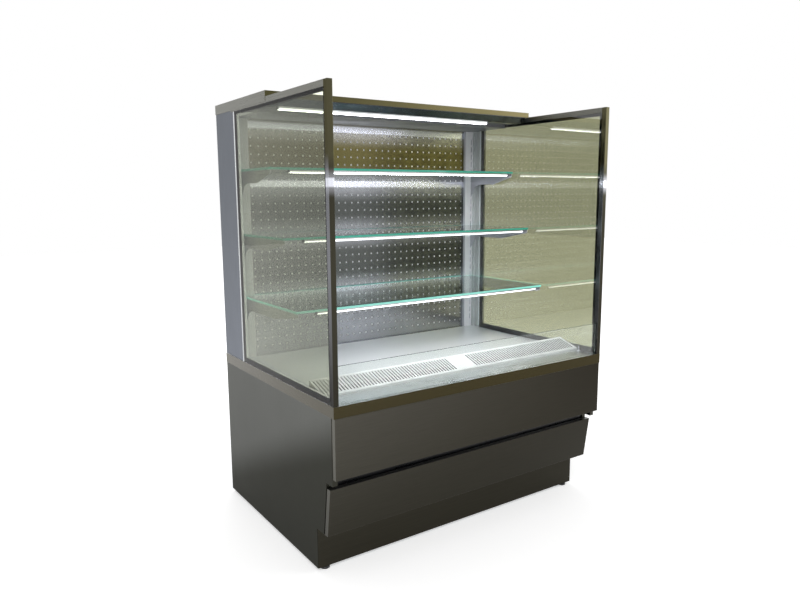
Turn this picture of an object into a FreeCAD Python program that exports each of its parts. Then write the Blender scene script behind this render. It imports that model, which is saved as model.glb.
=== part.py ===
"""Open multideck display fridge: refrigerated display case on a stainless base.

Frame: +Z up, +Y to the rear, +X to the right seen from the front. The origin lies on the
floor under the middle of the case. All sizes are millimetres.
"""
import FreeCAD, Part

import math
import os
import re

import Sketcher
from FreeCAD import Rotation, Vector

DOC = FreeCAD.newDocument("DisplayFridge")
SHEET = DOC.addObject("Spreadsheet::Sheet", "sizes")

# A value that starts with = follows other sizes; every other one is set by itself.
SIZES = {
    # whole case
    "width": 1200,
    "depth": 890,
    "height": 1555,
    "floor_gap": 12,
    "skin": 1.5,
    "foil": 2,
    # counter band and base panels
    "counter_height": 590,
    "band_height": 38,
    "ledge_front": 112,
    "ledge_side": 30,
    "upper_bottom": 356,
    "lower_top": 314,
    "lower_bottom": 152,
    "lower_top_setback": 38,
    "lower_bottom_setback": 60,
    "kick_setback": 129,
    "panel_inset": 3,
    "panel_depth": 20,
    "side_tray_depth": 20,
    "lift_clearance": 3,
    "panel_lift": 15,
    "backing_clearance": 8,
    "backing_bottom": 300,
    "backing_flange": 14,
    "vent_width": 400,
    "vent_height": 8,
    "vent_pitch": 24,
    "vent_count": 9,
    "vent_bottom": 110,
    "vent_centre": 240,
    # frame, feet and unit tray
    "tube": 30,
    "frame_bottom": 16,
    "frame_inset": 50,
    "frame_half": "=width / 2 - frame_inset",
    "foot_radius": 16,
    "foot_pad": 10,
    "foot_stem": 5,
    "foot_stem_length": 45,
    "foot_nut": 9,
    "running_gap": 0.05,
    "tray_inset": 20,
    "tray_lip": 14,
    # insulated tub
    "tub_depth": 190,
    "tub_base": "=counter_height - tub_depth",
    "tub_wall": 40,
    "drain_radius": 15,
    "drain_neck": 20,
    "drain_root": 1,
    "drain_bore": 12,
    "drain_flange": 26,
    "drain_flange_thick": 3,
    "drain_drop": 40,
    "drain_rear_gap": 125,
    "drain_setback": "=depth - drain_rear_gap",
    "hose_passage": 30,
    # deck, air grille and front glass
    "deck_rise": 2,
    "deck_inset": 2,
    "deck_gap": 1,
    "grille_front": 100,
    "grille_rear": 192,
    "grille_step": 8,
    "grille_rise": 30,
    "grille_low": "=counter_height + grille_step",
    "grille_high": "=grille_low + grille_rise",
    "grille_end_gap": 2.5,
    "grille_slot": 5,
    "grille_pitch": 12,
    "grille_slot_margin": 10,
    "grille_end_margin": 9,
    "blank_left": -36,
    "blank_right": 50,
    "pin_setback": 84,
    "pin_inset": 31,
    "pin_side": "=width / 2 - pin_inset",
    "pin_radius": 2.5,
    "pin_base_radius": 8,
    "pin_base": 2,
    "pin_height": 20,
    "riser_setback": 11,
    "riser_thick": 6,
    "riser_height": 120,
    "glass_gap": 1,
    # rear columns, duct and baffle
    "column_depth": 155,
    "nose_depth": 23,
    "gasket": 10,
    "rear_wall_thick": 40,
    "duct_depth": 85,
    "baffle_setback": "=depth - 2 * skin - rear_wall_thick - duct_depth",
    "baffle_foot": 16,
    "hole_radius": 3.5,
    "hole_pitch": 93,
    "upright_width": 44,
    "upright_depth": 15,
    "slot_offset": 9,
    "slot_width": 4,
    "slot_height": 24,
    "slot_pitch": 34,
    "slot_lift": 36,
    "slot_start": "=counter_height + slot_lift",
    # side glazing
    "pane": 4,
    "pane_cavity": 9,
    "spacer": 20,
    "post_depth": 20,
    "post_top": "=height - canopy_slab",
    "rail_height": 20,
    "canopy_joint": 3,
    # canopy
    "canopy_reach": 469,
    "canopy_slab": 20,
    "canopy_skirt": 35,
    "fascia_edge": 2,
    "fascia_slant": 24,
    "fascia_depth": 49,
    "fascia_drop": 24,
    "ceiling_drop": 55,
    "ceiling_height": "=height - ceiling_drop",
    "comb_depth": 62,
    "comb_height": 15,
    "comb_rim": 8,
    "comb_slot": 28,
    "comb_pitch": 36,
    "lamp_width": 18,
    "lamp_height": 11,
    "canopy_lamp_left_gap": 62,
    "canopy_lamp_right_gap": 208,
    "canopy_lamp_left": "=width / 2 - canopy_lamp_left_gap",
    "canopy_lamp_right": "=width / 2 - canopy_lamp_right_gap",
    # shelves
    "shelf_side_gap": 2,
    "shelf_half": "=width / 2 - ledge_side - shelf_side_gap",
    "shelf_thick": 8,
    "shelf_rear_gap": 2,
    "glass_bevel": 0.8,
    "bracket_thick": 3,
    "bracket_tip": 14,
    "bracket_deep": 44,
    "bracket_root": 58,
    "bracket_knee": 0.42,
    "gusset_drop": 98,
    "gusset_run": 30,
    "gusset_shoulder": 12,
    "neck": 8,
    "hook_drop": 9,
    "hook_thick": 3,
    "lamp_left_inset": 80,
    "lamp_right_inset": 22,
    "lamp_front_inset": 5,
    "top_shelf_height": 1311,
    "top_shelf_depth": 284,
    "middle_shelf_height": 1073,
    "middle_shelf_depth": 385,
    "bottom_shelf_height": 835,
    "bottom_shelf_depth": 468,
    # air system in the tub
    "fan_plate_setback": 196,
    "fan_plate_flange": 16,
    "cool_fan_side": 270,
    "cool_fan_lift": 74,
    "cool_fan_height": "=tub_base + tub_wall + cool_fan_lift",
    "cool_fan_radius": 58,
    "fan_tip_gap": 5,
    "cool_fan_chord": 44,
    "blade_thick": 2,
    "blade_root": 22,
    "blade_pitch": 22,
    "hub_radius": 18,
    "hub_length": 20,
    "shaft_radius": 4,
    "motor_radius": 26,
    "motor_length": 44,
    "motor_standoff": 8,
    "coil_front": 330,
    "coil_rear_gap": 210,
    "coil_rear": "=depth - coil_rear_gap",
    "coil_inset": 120,
    "coil_half": "=width / 2 - coil_inset",
    "coil_lift": 15,
    "coil_height": 105,
    "coil_plate": 3,
    "fin_groove": 6,
    "fin_pitch": 40,
    "fin_groove_depth": 12,
    # condensing unit
    "condenser_inset": 140,
    "condenser_left": "=condenser_inset - width / 2",
    "condenser_width": 400,
    "condenser_front": 190,
    "condenser_depth": 50,
    "condenser_height": 270,
    "shroud_depth": 45,
    "cond_fan_radius": 118,
    "cond_fan_chord": 84,
    "compressor_side": 150,
    "compressor_setback": 500,
    "compressor_radius": 80,
    "compressor_height": 200,
    "compressor_foot": 12,
    "compressor_dome": 44,
    "compressor_rim": 5,
    "compressor_plate_width": 208,
    "compressor_plate_depth": 150,
    "relay_size": 52,
    "pipe_radius": 6,
    "pipe_bend": 12,
    "pipe_hole_gap": 1,
    "suction_inset": 40,
    "suction_gap": 50,
    "suction_side": "=suction_inset - coil_half",
    "suction_setback": "=coil_rear + suction_gap",
    "suction_level": 310,
    "liquid_inset": 80,
    "liquid_gap": 20,
    "liquid_side": "=liquid_inset - coil_half",
    "liquid_setback": "=coil_rear + liquid_gap",
    "liquid_level": 280,
    "liquid_cross": 20,
    # control box
    "box_inset": 300,
    "box_left": "=width / 2 - box_inset",
    "box_width": 180,
    "box_front": 190,
    "box_depth": 120,
    "box_height": 130,
    "rocker_width": 18,
    "rocker_height": 26,
    "rocker_peak": 4,
    "rocker_gap": 0.5,
    "rocker_pin": 1.5,
    "rocker_well": 14,
    "rocker_side": 60,
    "rocker_level": 90,
}

for row, name in enumerate(SIZES, start=1):
    SHEET.setAlias(f"B{row}", name)
    SHEET.set(f"A{row}", name)
for row, value in enumerate(SIZES.values(), start=1):
    SHEET.set(f"B{row}", str(value))
DOC.recompute()

# Places that many pieces share, as text in the sheet's names.
FRONT = "(-depth / 2)"
REAR = "(depth / 2 - skin)"
SIDE = "(width / 2)"
BODY_SIDE = "(width / 2 - skin)"
TUB_SIDE = "(width / 2 - side_tray_depth)"
LEDGE_SIDE = "(width / 2 - ledge_side)"
GLASS_SIDE = "(width / 2 - skin - 2 * pane - pane_cavity)"
PANEL_SIDE = "(width / 2 - panel_inset)"
RIM = "(counter_height - skin)"
BAND_BOTTOM = "(counter_height - band_height)"
SLAB_BOTTOM = "(height - canopy_slab)"
GLASS_TOP = "(post_top - rail_height)"
CANOPY_FRONT = "(depth / 2 - canopy_reach)"
COLUMN_FRONT = "(depth / 2 - column_depth)"
WALL_FRONT = f"({REAR} - rear_wall_thick)"
BAFFLE = f"({FRONT} + baffle_setback)"
UPRIGHT_FRONT = f"({BAFFLE} - upright_depth)"
FRAME_FRONT = f"({FRONT} + kick_setback + skin)"
FRAME_TOP = "(frame_bottom + tube)"
TUB_FLOOR = "(tub_base + tub_wall)"
CENTRE = "0"
DRAIN_PLACE = (CENTRE, f"({FRONT} + drain_setback)")

# Sides of the regular outlines that stand for round bars, pads and nuts.
ROD_SIDES = 12
FOOT_SIDES = 20
NUT_SIDES = 6
RING_SIDES = 24
PIPE_SIDES = 8
DOME_STEPS = 4
BEND_CHORDS = 3
TIP_STEPS = 4
FLAT = 0.01

DONE = []


def setback(amount):
    """Text for a plane lying the amount behind the front of the case."""
    return f"({FRONT} + {amount})"


def bound(text):
    """The text with each size's name written the way an object's expression needs it."""
    names = "|".join(SIZES)
    return re.sub(rf"\b({names})\b", r"sizes.\1", text)


def number(text):
    """The present value of a text in the sheet's names."""
    return float(SHEET.evalExpression(text))


def mirrored(side, near, far):
    """The low and high X of a stretch from near to far of the middle, on side +1 or -1."""
    if side > 0:
        return (near, far)
    return (f"-({far})", f"-({near})")


def done(piece, label):
    """Name a finished sub-part after its file and keep it for the export."""
    piece.Label = label
    DONE.append(piece)
    return piece


def block(x, y, z, name="Block"):
    """A box between the low and high of each axis."""
    box = DOC.addObject("Part::Box", name)
    for size, place, (low, high) in zip(("Length", "Width", "Height"), "xyz", (x, y, z)):
        box.setExpression(size, bound(f"({high}) - ({low})"))
        box.setExpression(f"Placement.Base.{place}", bound(low))
    return box


def rod(centre, low, high, radius, axis="Z", sides=ROD_SIDES):
    """A rod along an axis, from low to high, round the centre's other two values.

    With sides set it is a many-sided prism, whose corners lie on the radius; with none it is round.
    """
    if sides:
        cylinder = DOC.addObject("Part::Prism", "Rod")
        cylinder.Polygon = sides
        cylinder.setExpression("Circumradius", bound(radius))
    else:
        cylinder = DOC.addObject("Part::Cylinder", "Rod")
        cylinder.setExpression("Radius", bound(radius))
    cylinder.setExpression("Height", bound(f"({high}) - ({low})"))
    turn = {
        "X": Rotation(Vector(0, 1, 0), 90),
        "Y": Rotation(Vector(1, 0, 0), -90),
        "Z": Rotation(),
    }[axis]
    cylinder.Placement = FreeCAD.Placement(Vector(), turn)
    others = [letter for letter in "XYZ" if letter != axis]
    places = dict(zip(others, centre))
    places[axis] = low
    for letter, text in places.items():
        cylinder.setExpression(f"Placement.Base.{letter.lower()}", bound(text))
    return cylinder


def hole_for(radius, sides=ROD_SIDES):
    """Corner radius of a many-sided hole whose flats clear a rod by the running gap."""
    return f"(({radius} + running_gap) * {1 / math.cos(math.pi / sides):.5f})"


def ngon(x, y, radius, sides):
    """A regular outline round (x, y), its corners on the radius."""
    corners = []
    for step in range(sides):
        angle = 2 * math.pi * step / sides
        across = f"{x} + {radius} * ({math.cos(angle):.6f})"
        up = f"{y} + {radius} * ({math.sin(angle):.6f})"
        corners.append((across, up))
    return corners


def cut(base, tools, name="Cut"):
    """The base less every tool."""
    piece = DOC.addObject("Part::Cut", name)
    piece.Base = base
    piece.Tool = tools[0] if len(tools) == 1 else fuse(tools)
    return piece


def fuse(parts, name="Fuse"):
    """The parts as one shape, touching ones joined."""
    piece = DOC.addObject("Part::MultiFuse", name)
    piece.Shapes = parts
    piece.Refine = True
    return piece


def group(parts, name="Group"):
    """The parts as separate solids of one sub-part."""
    piece = DOC.addObject("Part::Compound", name)
    piece.Links = parts
    return piece


def body(label):
    """An empty body, kept for the export under its label."""
    return done(DOC.addObject("PartDesign::Body", label), label)


def sketch(owner, role, offset, outlines, circles=()):
    """A sketch on one of the body's origin planes, moved off it by the offset.

    outlines holds closed outlines, each a list of corners, and circles holds
    (across, up, radius); all are texts, and each drives a constraint.
    """
    drawn = owner.newObject("Sketcher::SketchObject", f"{owner.Label}_sketch")
    base = next(item for item in owner.Origin.OriginFeatures if item.Role == role)
    drawn.AttachmentSupport = [(base, "")]
    drawn.MapMode = "FlatFace"
    drawn.setExpression("AttachmentOffset.Base.z", bound(offset))

    def drive(kind, *where, text):
        index = drawn.addConstraint(Sketcher.Constraint(kind, *where, number(text)))
        drawn.setExpression(f"Constraints[{index}]", bound(text))

    for outline in outlines:
        corners = [Vector(number(across), number(up), 0) for across, up in outline]
        first = drawn.GeometryCount
        count = len(corners)
        for step, corner in enumerate(corners):
            drawn.addGeometry(Part.LineSegment(corner, corners[(step + 1) % count]), False)
        for step, (across, up) in enumerate(outline):
            following = first + (step + 1) % count
            drawn.addConstraint(Sketcher.Constraint("Coincident", first + step, 2, following, 1))
            drive("DistanceX", -1, 1, first + step, 1, text=across)
            drive("DistanceY", -1, 1, first + step, 1, text=up)
    for across, up, radius in circles:
        circle = Part.Circle(Vector(number(across), number(up), 0), Vector(0, 0, 1), number(radius))
        index = drawn.addGeometry(circle, False)
        drive("DistanceX", -1, 1, index, 3, text=across)
        drive("DistanceY", -1, 1, index, 3, text=up)
        drive("Radius", index, text=radius)
    return drawn


def pad(owner, role, low, high, outlines, circles=()):
    """Material from low to high across the plane, inside the outlines."""
    offset = f"-({high})" if role == "XZ_Plane" else low
    feature = owner.newObject("PartDesign::Pad", f"{owner.Label}_pad")
    feature.Profile = sketch(owner, role, offset, outlines, circles)
    feature.setExpression("Length", bound(f"({high}) - ({low})"))
    return feature


def pocket(owner, role, low, high, outlines, circles=()):
    """A cut from high down to low across the plane, inside the outlines."""
    offset = f"-({low})" if role == "XZ_Plane" else high
    feature = owner.newObject("PartDesign::Pocket", f"{owner.Label}_pocket")
    feature.Profile = sketch(owner, role, offset, outlines, circles)
    feature.setExpression("Length", bound(f"({high}) - ({low})"))
    return feature


def row_of(owner, feature, axis, pitch, count):
    """Repeat a feature along an origin axis; pitch and count are texts."""
    line = next(item for item in owner.Origin.OriginFeatures if item.Role == f"{axis}_Axis")
    pattern = owner.newObject("PartDesign::LinearPattern", f"{owner.Label}_row")
    pattern.Originals = [feature]
    pattern.Direction = (line, [""])
    pattern.Mode = "Spacing"
    pattern.setExpression("Offset", bound(pitch))
    pattern.setExpression("Occurrences", bound(count))
    owner.Tip = pattern
    return pattern


def chamfer(owner, edges, size):
    """Bevel the named edges of the body's last feature."""
    base = owner.Tip
    bevel = owner.newObject("PartDesign::Chamfer", f"{owner.Label}_bevel")
    bevel.Base = (base, edges)
    bevel.setExpression("Size", bound(size))
    owner.Tip = bevel


def rectangle(low, high):
    """A closed outline between two opposite corners."""
    return [(low[0], low[1]), (high[0], low[1]), (high[0], high[1]), (low[0], high[1])]


def tray(label, x, y, z, opening):
    """A folded sheet tray: a block hollowed from the side that opening names."""
    wall = {
        "-X": (0, 0), "+X": (0, 1), "-Y": (1, 0), "+Y": (1, 1), "-Z": (2, 0), "+Z": (2, 1),
    }[opening]
    hollow = []
    for index, (low, high) in enumerate((x, y, z)):
        inner_low = low if (index, 0) == wall else f"{low} + skin"
        inner_high = high if (index, 1) == wall else f"{high} - skin"
        hollow.append((inner_low, inner_high))
    return done(cut(block(x, y, z), [block(*hollow)]), label)


def feature(label, shape):
    """A sub-part whose shape is worked out from the sheet in this source."""
    piece = DOC.addObject("Part::Feature", label)
    piece.Shape = shape
    piece.Placement = FreeCAD.Placement()
    return done(piece, label)


# ---------------------------------------------------------------- base


def build_base_frame():
    """Welded square-tube frame with a lug beside each foot."""
    inner = "(frame_half - tube)"
    tubes = []
    for side in (1, -1):
        x = mirrored(side, inner, "frame_half")
        for low, high in (("frame_bottom", FRAME_TOP), ("tub_base - tube", "tub_base")):
            tubes.append(block(x, (FRAME_FRONT, REAR), (low, high)))
        for y in ((FRAME_FRONT, f"{FRAME_FRONT} + tube"), (f"{REAR} - tube", REAR)):
            tubes.append(block(x, y, (FRAME_TOP, "tub_base - tube")))
        arm = (setback("lower_top_setback + panel_depth + backing_clearance + backing_flange"), FRAME_FRONT)
        tubes.append(block(x, arm, ("tub_base - tube", "tub_base")))
    for low, high in (("frame_bottom", FRAME_TOP), ("tub_base - tube", "tub_base")):
        for y in ((FRAME_FRONT, f"{FRAME_FRONT} + tube"), (f"{REAR} - tube", REAR)):
            tubes.append(block((f"-{inner}", inner), y, (low, high)))
    done(fuse(tubes), "base_frame")


def foot_places():
    """Side, and Y of the middle, of each levelling foot, with its name."""
    front = f"({FRAME_FRONT} + tube / 2)"
    rear = f"({REAR} - tube / 2)"
    return [
        ("front_left", -1, front), ("front_right", 1, front),
        ("rear_left", -1, rear), ("rear_right", 1, rear),
    ]


def build_feet():
    """Screw-in levelling feet and the threaded blocks that hold them."""
    blocks = []
    for name, side, y in foot_places():
        x_low, x_high = mirrored(side, "frame_half", "frame_half + tube")
        x = f"({x_low} + {x_high}) / 2"
        holder = block((x_low, x_high), (f"{y} - tube / 2", f"{y} + tube / 2"), ("frame_bottom", FRAME_TOP))
        bore = rod((x, y), "frame_bottom - skin", f"{FRAME_TOP} + skin", hole_for("foot_stem"))
        blocks.append(cut(holder, [bore]))
        foot = body(f"foot_{name}")
        pad(foot, "XY_Plane", "0", "foot_pad", [ngon(x, y, "foot_radius", FOOT_SIDES)])
        DOC.recompute()
        chamfer(foot, level_edges(foot.Tip.Shape, number("foot_pad")), "foot_pad / 2")
        pad(foot, "XY_Plane", "foot_pad", "frame_bottom", [ngon(x, y, "foot_nut", NUT_SIDES)])
        pad(foot, "XY_Plane", "frame_bottom", "foot_pad + foot_stem_length", [
            ngon(x, y, "foot_stem", ROD_SIDES)])
    done(group(blocks), "foot_blocks")


def level_edges(shape, level):
    """The names of the edges that lie flat at this level."""
    return [f"Edge{index}" for index, edge in enumerate(shape.Edges, start=1)
            if edge.BoundBox.ZLength < FLAT and abs(edge.CenterOfMass.z - level) < FLAT]


def build_base_panels():
    """Kick plate, side trays, rear vent panel, front panels and the sheet behind their gap."""
    kick = body("kick_plate")
    flange_front = setback("lower_bottom_setback + lift_clearance")
    face = setback("kick_setback")
    top = "lower_bottom"
    pad(kick, "YZ_Plane", f"-{PANEL_SIDE}", PANEL_SIDE, [[
        (face, "floor_gap"), (FRAME_FRONT, "floor_gap"), (FRAME_FRONT, top),
        (flange_front, top), (flange_front, f"{top} - skin"), (face, f"{top} - skin"),
    ]])

    for side, name in ((-1, "left"), (1, "right")):
        x_low, x_high = mirrored(side, TUB_SIDE, BODY_SIDE)
        panel = body(f"base_side_{name}")
        pad(panel, "YZ_Plane", x_low, x_high, [side_outline("0")])
        if side > 0:
            pocket(panel, "YZ_Plane", x_low, f"{x_high} - skin", [side_outline("skin")])
        else:
            pocket(panel, "YZ_Plane", f"{x_low} + skin", x_high, [side_outline("skin")])

    rear = body("base_rear_panel")
    pad(rear, "XZ_Plane", REAR, "depth / 2", [
        rectangle((f"-{BODY_SIDE}", "floor_gap"), (BODY_SIDE, BAND_BOTTOM))])
    slots = pocket(rear, "XZ_Plane", REAR, "depth / 2", [
        rectangle((f"{middle} - vent_width / 2", "vent_bottom"),
                  (f"{middle} + vent_width / 2", "vent_bottom + vent_height"))
        for middle in ("-vent_centre", "vent_centre")])
    row_of(rear, slots, "Z", "vent_pitch", "vent_count")

    tray("upper_front_panel", (f"-{PANEL_SIDE}", PANEL_SIDE), (FRONT, setback("panel_depth")),
         ("upper_bottom", BAND_BOTTOM), "+Y")
    lower = body("lower_front_panel")
    pad(lower, "YZ_Plane", f"-{PANEL_SIDE}", PANEL_SIDE, [lower_outline("0")])
    pocket(lower, "YZ_Plane", f"-{PANEL_SIDE} + skin", f"{PANEL_SIDE} - skin", [lower_outline("skin")])

    backing = body("gap_backing")
    plane = setback("lower_top_setback + panel_depth + backing_clearance")
    pad(backing, "YZ_Plane", f"-{TUB_SIDE}", TUB_SIDE, [[
        (plane, "backing_bottom"), (f"{plane} + skin", "backing_bottom"),
        (f"{plane} + skin", "tub_base - skin"), (f"{plane} + backing_flange", "tub_base - skin"),
        (f"{plane} + backing_flange", "tub_base"), (plane, "tub_base"),
    ]])


def side_outline(inset):
    """Side panel seen along X: it steps back behind the front panels and the kick plate."""
    tongue = f"lower_top + panel_lift + lift_clearance + {inset}"
    low_front = setback(f"lower_bottom_setback + panel_depth + lift_clearance + {inset}")
    high_front = setback(f"lower_top_setback + panel_depth + lift_clearance + {inset}")
    return [
        (f"{REAR} - {inset}", f"floor_gap + {inset}"),
        (f"{REAR} - {inset}", f"{BAND_BOTTOM} - {inset}"),
        (setback(f"panel_depth + {inset}"), f"{BAND_BOTTOM} - {inset}"),
        (setback(f"panel_depth + {inset}"), tongue),
        (high_front, tongue),
        (high_front, "lower_top"),
        (low_front, f"lower_bottom + {inset}"),
        (f"{FRAME_FRONT} + {inset}", f"lower_bottom + {inset}"),
        (f"{FRAME_FRONT} + {inset}", f"floor_gap + {inset}"),
    ]


def lower_outline(inset):
    """Lower front panel seen along X: it leans back towards the kick plate."""
    return [
        (setback(f"lower_top_setback + {inset}"), f"lower_top - {inset}"),
        (setback(f"lower_bottom_setback + {inset}"), f"lower_bottom + {inset}"),
        (setback("lower_bottom_setback + panel_depth"), f"lower_bottom + {inset}"),
        (setback("lower_top_setback + panel_depth"), f"lower_top - {inset}"),
    ]


def build_counter_band():
    """Folded counter band round the case: an upright edge and a ledge on top."""
    outer = block((f"-{SIDE}", SIDE), (FRONT, "depth / 2"), (BAND_BOTTOM, "counter_height"))
    under = block((f"-{BODY_SIDE}", BODY_SIDE), (f"{FRONT} + skin", REAR), (BAND_BOTTOM, RIM))
    opening = block((f"-{LEDGE_SIDE}", LEDGE_SIDE), (setback("ledge_front"), WALL_FRONT),
                    (BAND_BOTTOM, "counter_height"))
    done(cut(outer, [under, opening]), "counter_band")


# ---------------------------------------------------------------- tub, deck and air path


def build_tub():
    """Foamed tub under the deck, with its drain and the two pipe passages."""
    outer = block((f"-{TUB_SIDE}", TUB_SIDE), (setback("panel_depth"), REAR), ("tub_base", RIM))
    inner_side = f"({TUB_SIDE} - tub_wall)"
    inner_y = (setback("panel_depth + tub_wall"), f"{REAR} - tub_wall")
    cavity = block((f"-{inner_side}", inner_side), inner_y, (TUB_FLOOR, RIM))
    drain_hole = hole_for("drain_neck", RING_SIDES)
    holes = [rod(DRAIN_PLACE, "tub_base", TUB_FLOOR, drain_hole, sides=RING_SIDES)]
    for x, y in (("suction_side", "suction_setback"), ("liquid_side", "liquid_setback")):
        holes.append(rod((x, setback(y)), "tub_base", TUB_FLOOR, "pipe_radius + pipe_hole_gap"))
    done(cut(outer, [cavity] + holes), "insulated_tub")

    rim = f"{TUB_FLOOR} + drain_flange_thick"
    flange = rod(DRAIN_PLACE, TUB_FLOOR, rim, "drain_flange", sides=RING_SIDES)
    neck = rod(DRAIN_PLACE, "tub_base", rim, "drain_neck", sides=RING_SIDES)
    spout = rod(DRAIN_PLACE, "tub_base - drain_drop", rim, "drain_radius", sides=None)
    root = DOC.addObject("Part::Cone", "Root")
    root.setExpression("Radius1", bound("drain_radius"))
    root.setExpression("Radius2", bound("drain_radius + drain_root"))
    root.setExpression("Height", bound("drain_root"))
    root.setExpression("Placement.Base.x", bound(DRAIN_PLACE[0]))
    root.setExpression("Placement.Base.y", bound(DRAIN_PLACE[1]))
    root.setExpression("Placement.Base.z", bound("tub_base - drain_root"))
    bore = rod(DRAIN_PLACE, "tub_base - drain_drop", rim, "drain_bore", sides=RING_SIDES)
    done(cut(fuse([flange, neck, spout, root]), [bore]), "drain_outlet")


def build_deck():
    """Lift-out deck sheet with a turned-down edge."""
    half = f"({LEDGE_SIDE} - deck_inset)"
    front = setback("fan_plate_setback + skin + deck_gap")
    rear = f"({UPRIGHT_FRONT} - deck_gap)"
    top = "counter_height + deck_rise"
    tray("deck_pan", (f"-{half}", half), (front, rear), (RIM, top), "-Z")


def build_air_grille():
    """Wedge-shaped return-air grille: sloping slotted top, closed ends, legs front and rear."""
    half = f"({GLASS_SIDE} - grille_end_gap)"
    front = setback("grille_front")
    rear = setback("grille_rear")
    grille = body("air_grille")
    pad(grille, "YZ_Plane", f"-{half}", half, [[
        (front, "counter_height"), (rear, "counter_height"), (rear, "grille_high"), (front, "grille_low")]])
    pocket(grille, "YZ_Plane", f"-{half} + skin", f"{half} - skin", [[
        (f"{front} + skin", "counter_height"), (f"{rear} - skin", "counter_height"),
        (f"{rear} - skin", "grille_high - foil"), (f"{front} + skin", "grille_low - foil")]])
    slot_y = (f"{front} + grille_slot_margin", f"{rear} - grille_slot_margin")
    first_right = "blank_right + grille_pitch / 2"
    first_left = "blank_left - grille_pitch / 2"
    reach = f"({half} - grille_end_margin)"
    sections = (
        (first_right, "grille_pitch", f"floor(({reach} - ({first_right})) / grille_pitch) + 1", "X"),
        (first_left, "grille_pitch", f"floor(({reach} + ({first_left})) / grille_pitch) + 1", "-X"),
    )
    for middle, pitch, count, way in sections:
        slot_x = (f"{middle} - grille_slot / 2", f"{middle} + grille_slot / 2")
        slot = pocket(grille, "XY_Plane", "counter_height", "grille_high", [
            rectangle((slot_x[0], slot_y[0]), (slot_x[1], slot_y[1]))])
        pattern = row_of(grille, slot, "X", pitch, count)
        pattern.Reversed = way == "-X"

    pins = []
    for side in (1, -1):
        x = "pin_side" if side > 0 else "-pin_side"
        place = (x, setback("pin_setback"))
        disc = rod(place, "counter_height", "counter_height + pin_base", "pin_base_radius")
        stem = rod(place, "counter_height", "counter_height + pin_height", "pin_radius")
        pins.append(fuse([disc, stem]))
    done(group(pins), "grille_pins")


def build_riser_glass():
    """Low glass screen along the front of the counter."""
    half = f"({GLASS_SIDE} - glass_gap)"
    screen = body("riser_glass")
    pad(screen, "XY_Plane", "counter_height", "counter_height + riser_height", [
        rectangle((f"-{half}", setback("riser_setback")), (half, setback("riser_setback + riser_thick")))])


def regular_ring(centre, across, upward, radius, sides):
    """Corner points of a regular outline in the plane of two unit directions."""
    ring = []
    for step in range(sides):
        angle = 2 * math.pi * step / sides
        ring.append(centre + across * (radius * math.cos(angle)) + upward * (radius * math.sin(angle)))
    return ring


def closed_wire(points):
    """A closed wire through the points."""
    return Part.makePolygon(points + points[:1])


def solid_through(rings):
    """A solid whose flat faces join each ring of points to the next."""
    faces = [Part.Face(closed_wire(ring)) for ring in (rings[0], rings[-1])]
    for ring, following in zip(rings, rings[1:]):
        for step, corner in enumerate(ring):
            beside = (step + 1) % len(ring)
            faces.append(Part.Face(closed_wire([corner, ring[beside], following[beside], following[step]])))
    shape = Part.makeSolid(Part.makeShell(faces))
    if shape.Volume < 0:
        shape.reverse()
    return shape


def fan_shape(centre, radius, chord, blades):
    """Axial fan along Y: a bored hub and pitched sheet blades, about the centre."""
    hub = number("hub_radius")
    hub_length = number("hub_length")
    thick = number("blade_thick")
    middle = Vector(*centre)
    across = Vector(1, 0, 0)
    upward = Vector(0, 0, 1)
    rearward = Vector(0, 1, 0)
    start = middle - rearward * (hub_length / 2)
    rim = regular_ring(start, across, upward, hub, RING_SIDES)
    shape = Part.Face(closed_wire(rim)).extrude(rearward * hub_length)
    root = number("blade_root / 2")
    sweep = math.asin(chord / 2 / radius)
    outline = [Vector(-root, 0, hub - thick), Vector(root, 0, hub - thick)]
    for step in range(TIP_STEPS + 1):
        angle = sweep * (1 - 2 * step / TIP_STEPS)
        outline.append(Vector(radius * math.sin(angle), 0, radius * math.cos(angle)))
    blade = Part.Face(closed_wire(outline)).extrude(rearward * thick)
    blade.rotate(Vector(), upward, number("blade_pitch"))
    blade.translate(middle - rearward * (thick / 2))
    for step in range(blades):
        copy = blade.copy()
        copy.rotate(middle, rearward, step * 360 / blades)
        shape = shape.fuse(copy)
    bore = regular_ring(start, across, upward, number(hole_for("shaft_radius")), ROD_SIDES)
    hole = Part.Face(closed_wire(bore)).extrude(rearward * hub_length)
    return shape.cut(hole).removeSplitter()


def motor_parts(x, y_front, z):
    """Motor barrel and shaft behind a fan, from the plane y_front back."""
    face = f"({y_front} + motor_standoff)"
    barrel = rod((x, z), face, f"{face} + motor_length", "motor_radius", axis="Y")
    shaft = rod((x, z), f"{y_front} - hub_length", face, "shaft_radius", axis="Y")
    return [barrel, shaft]


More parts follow.
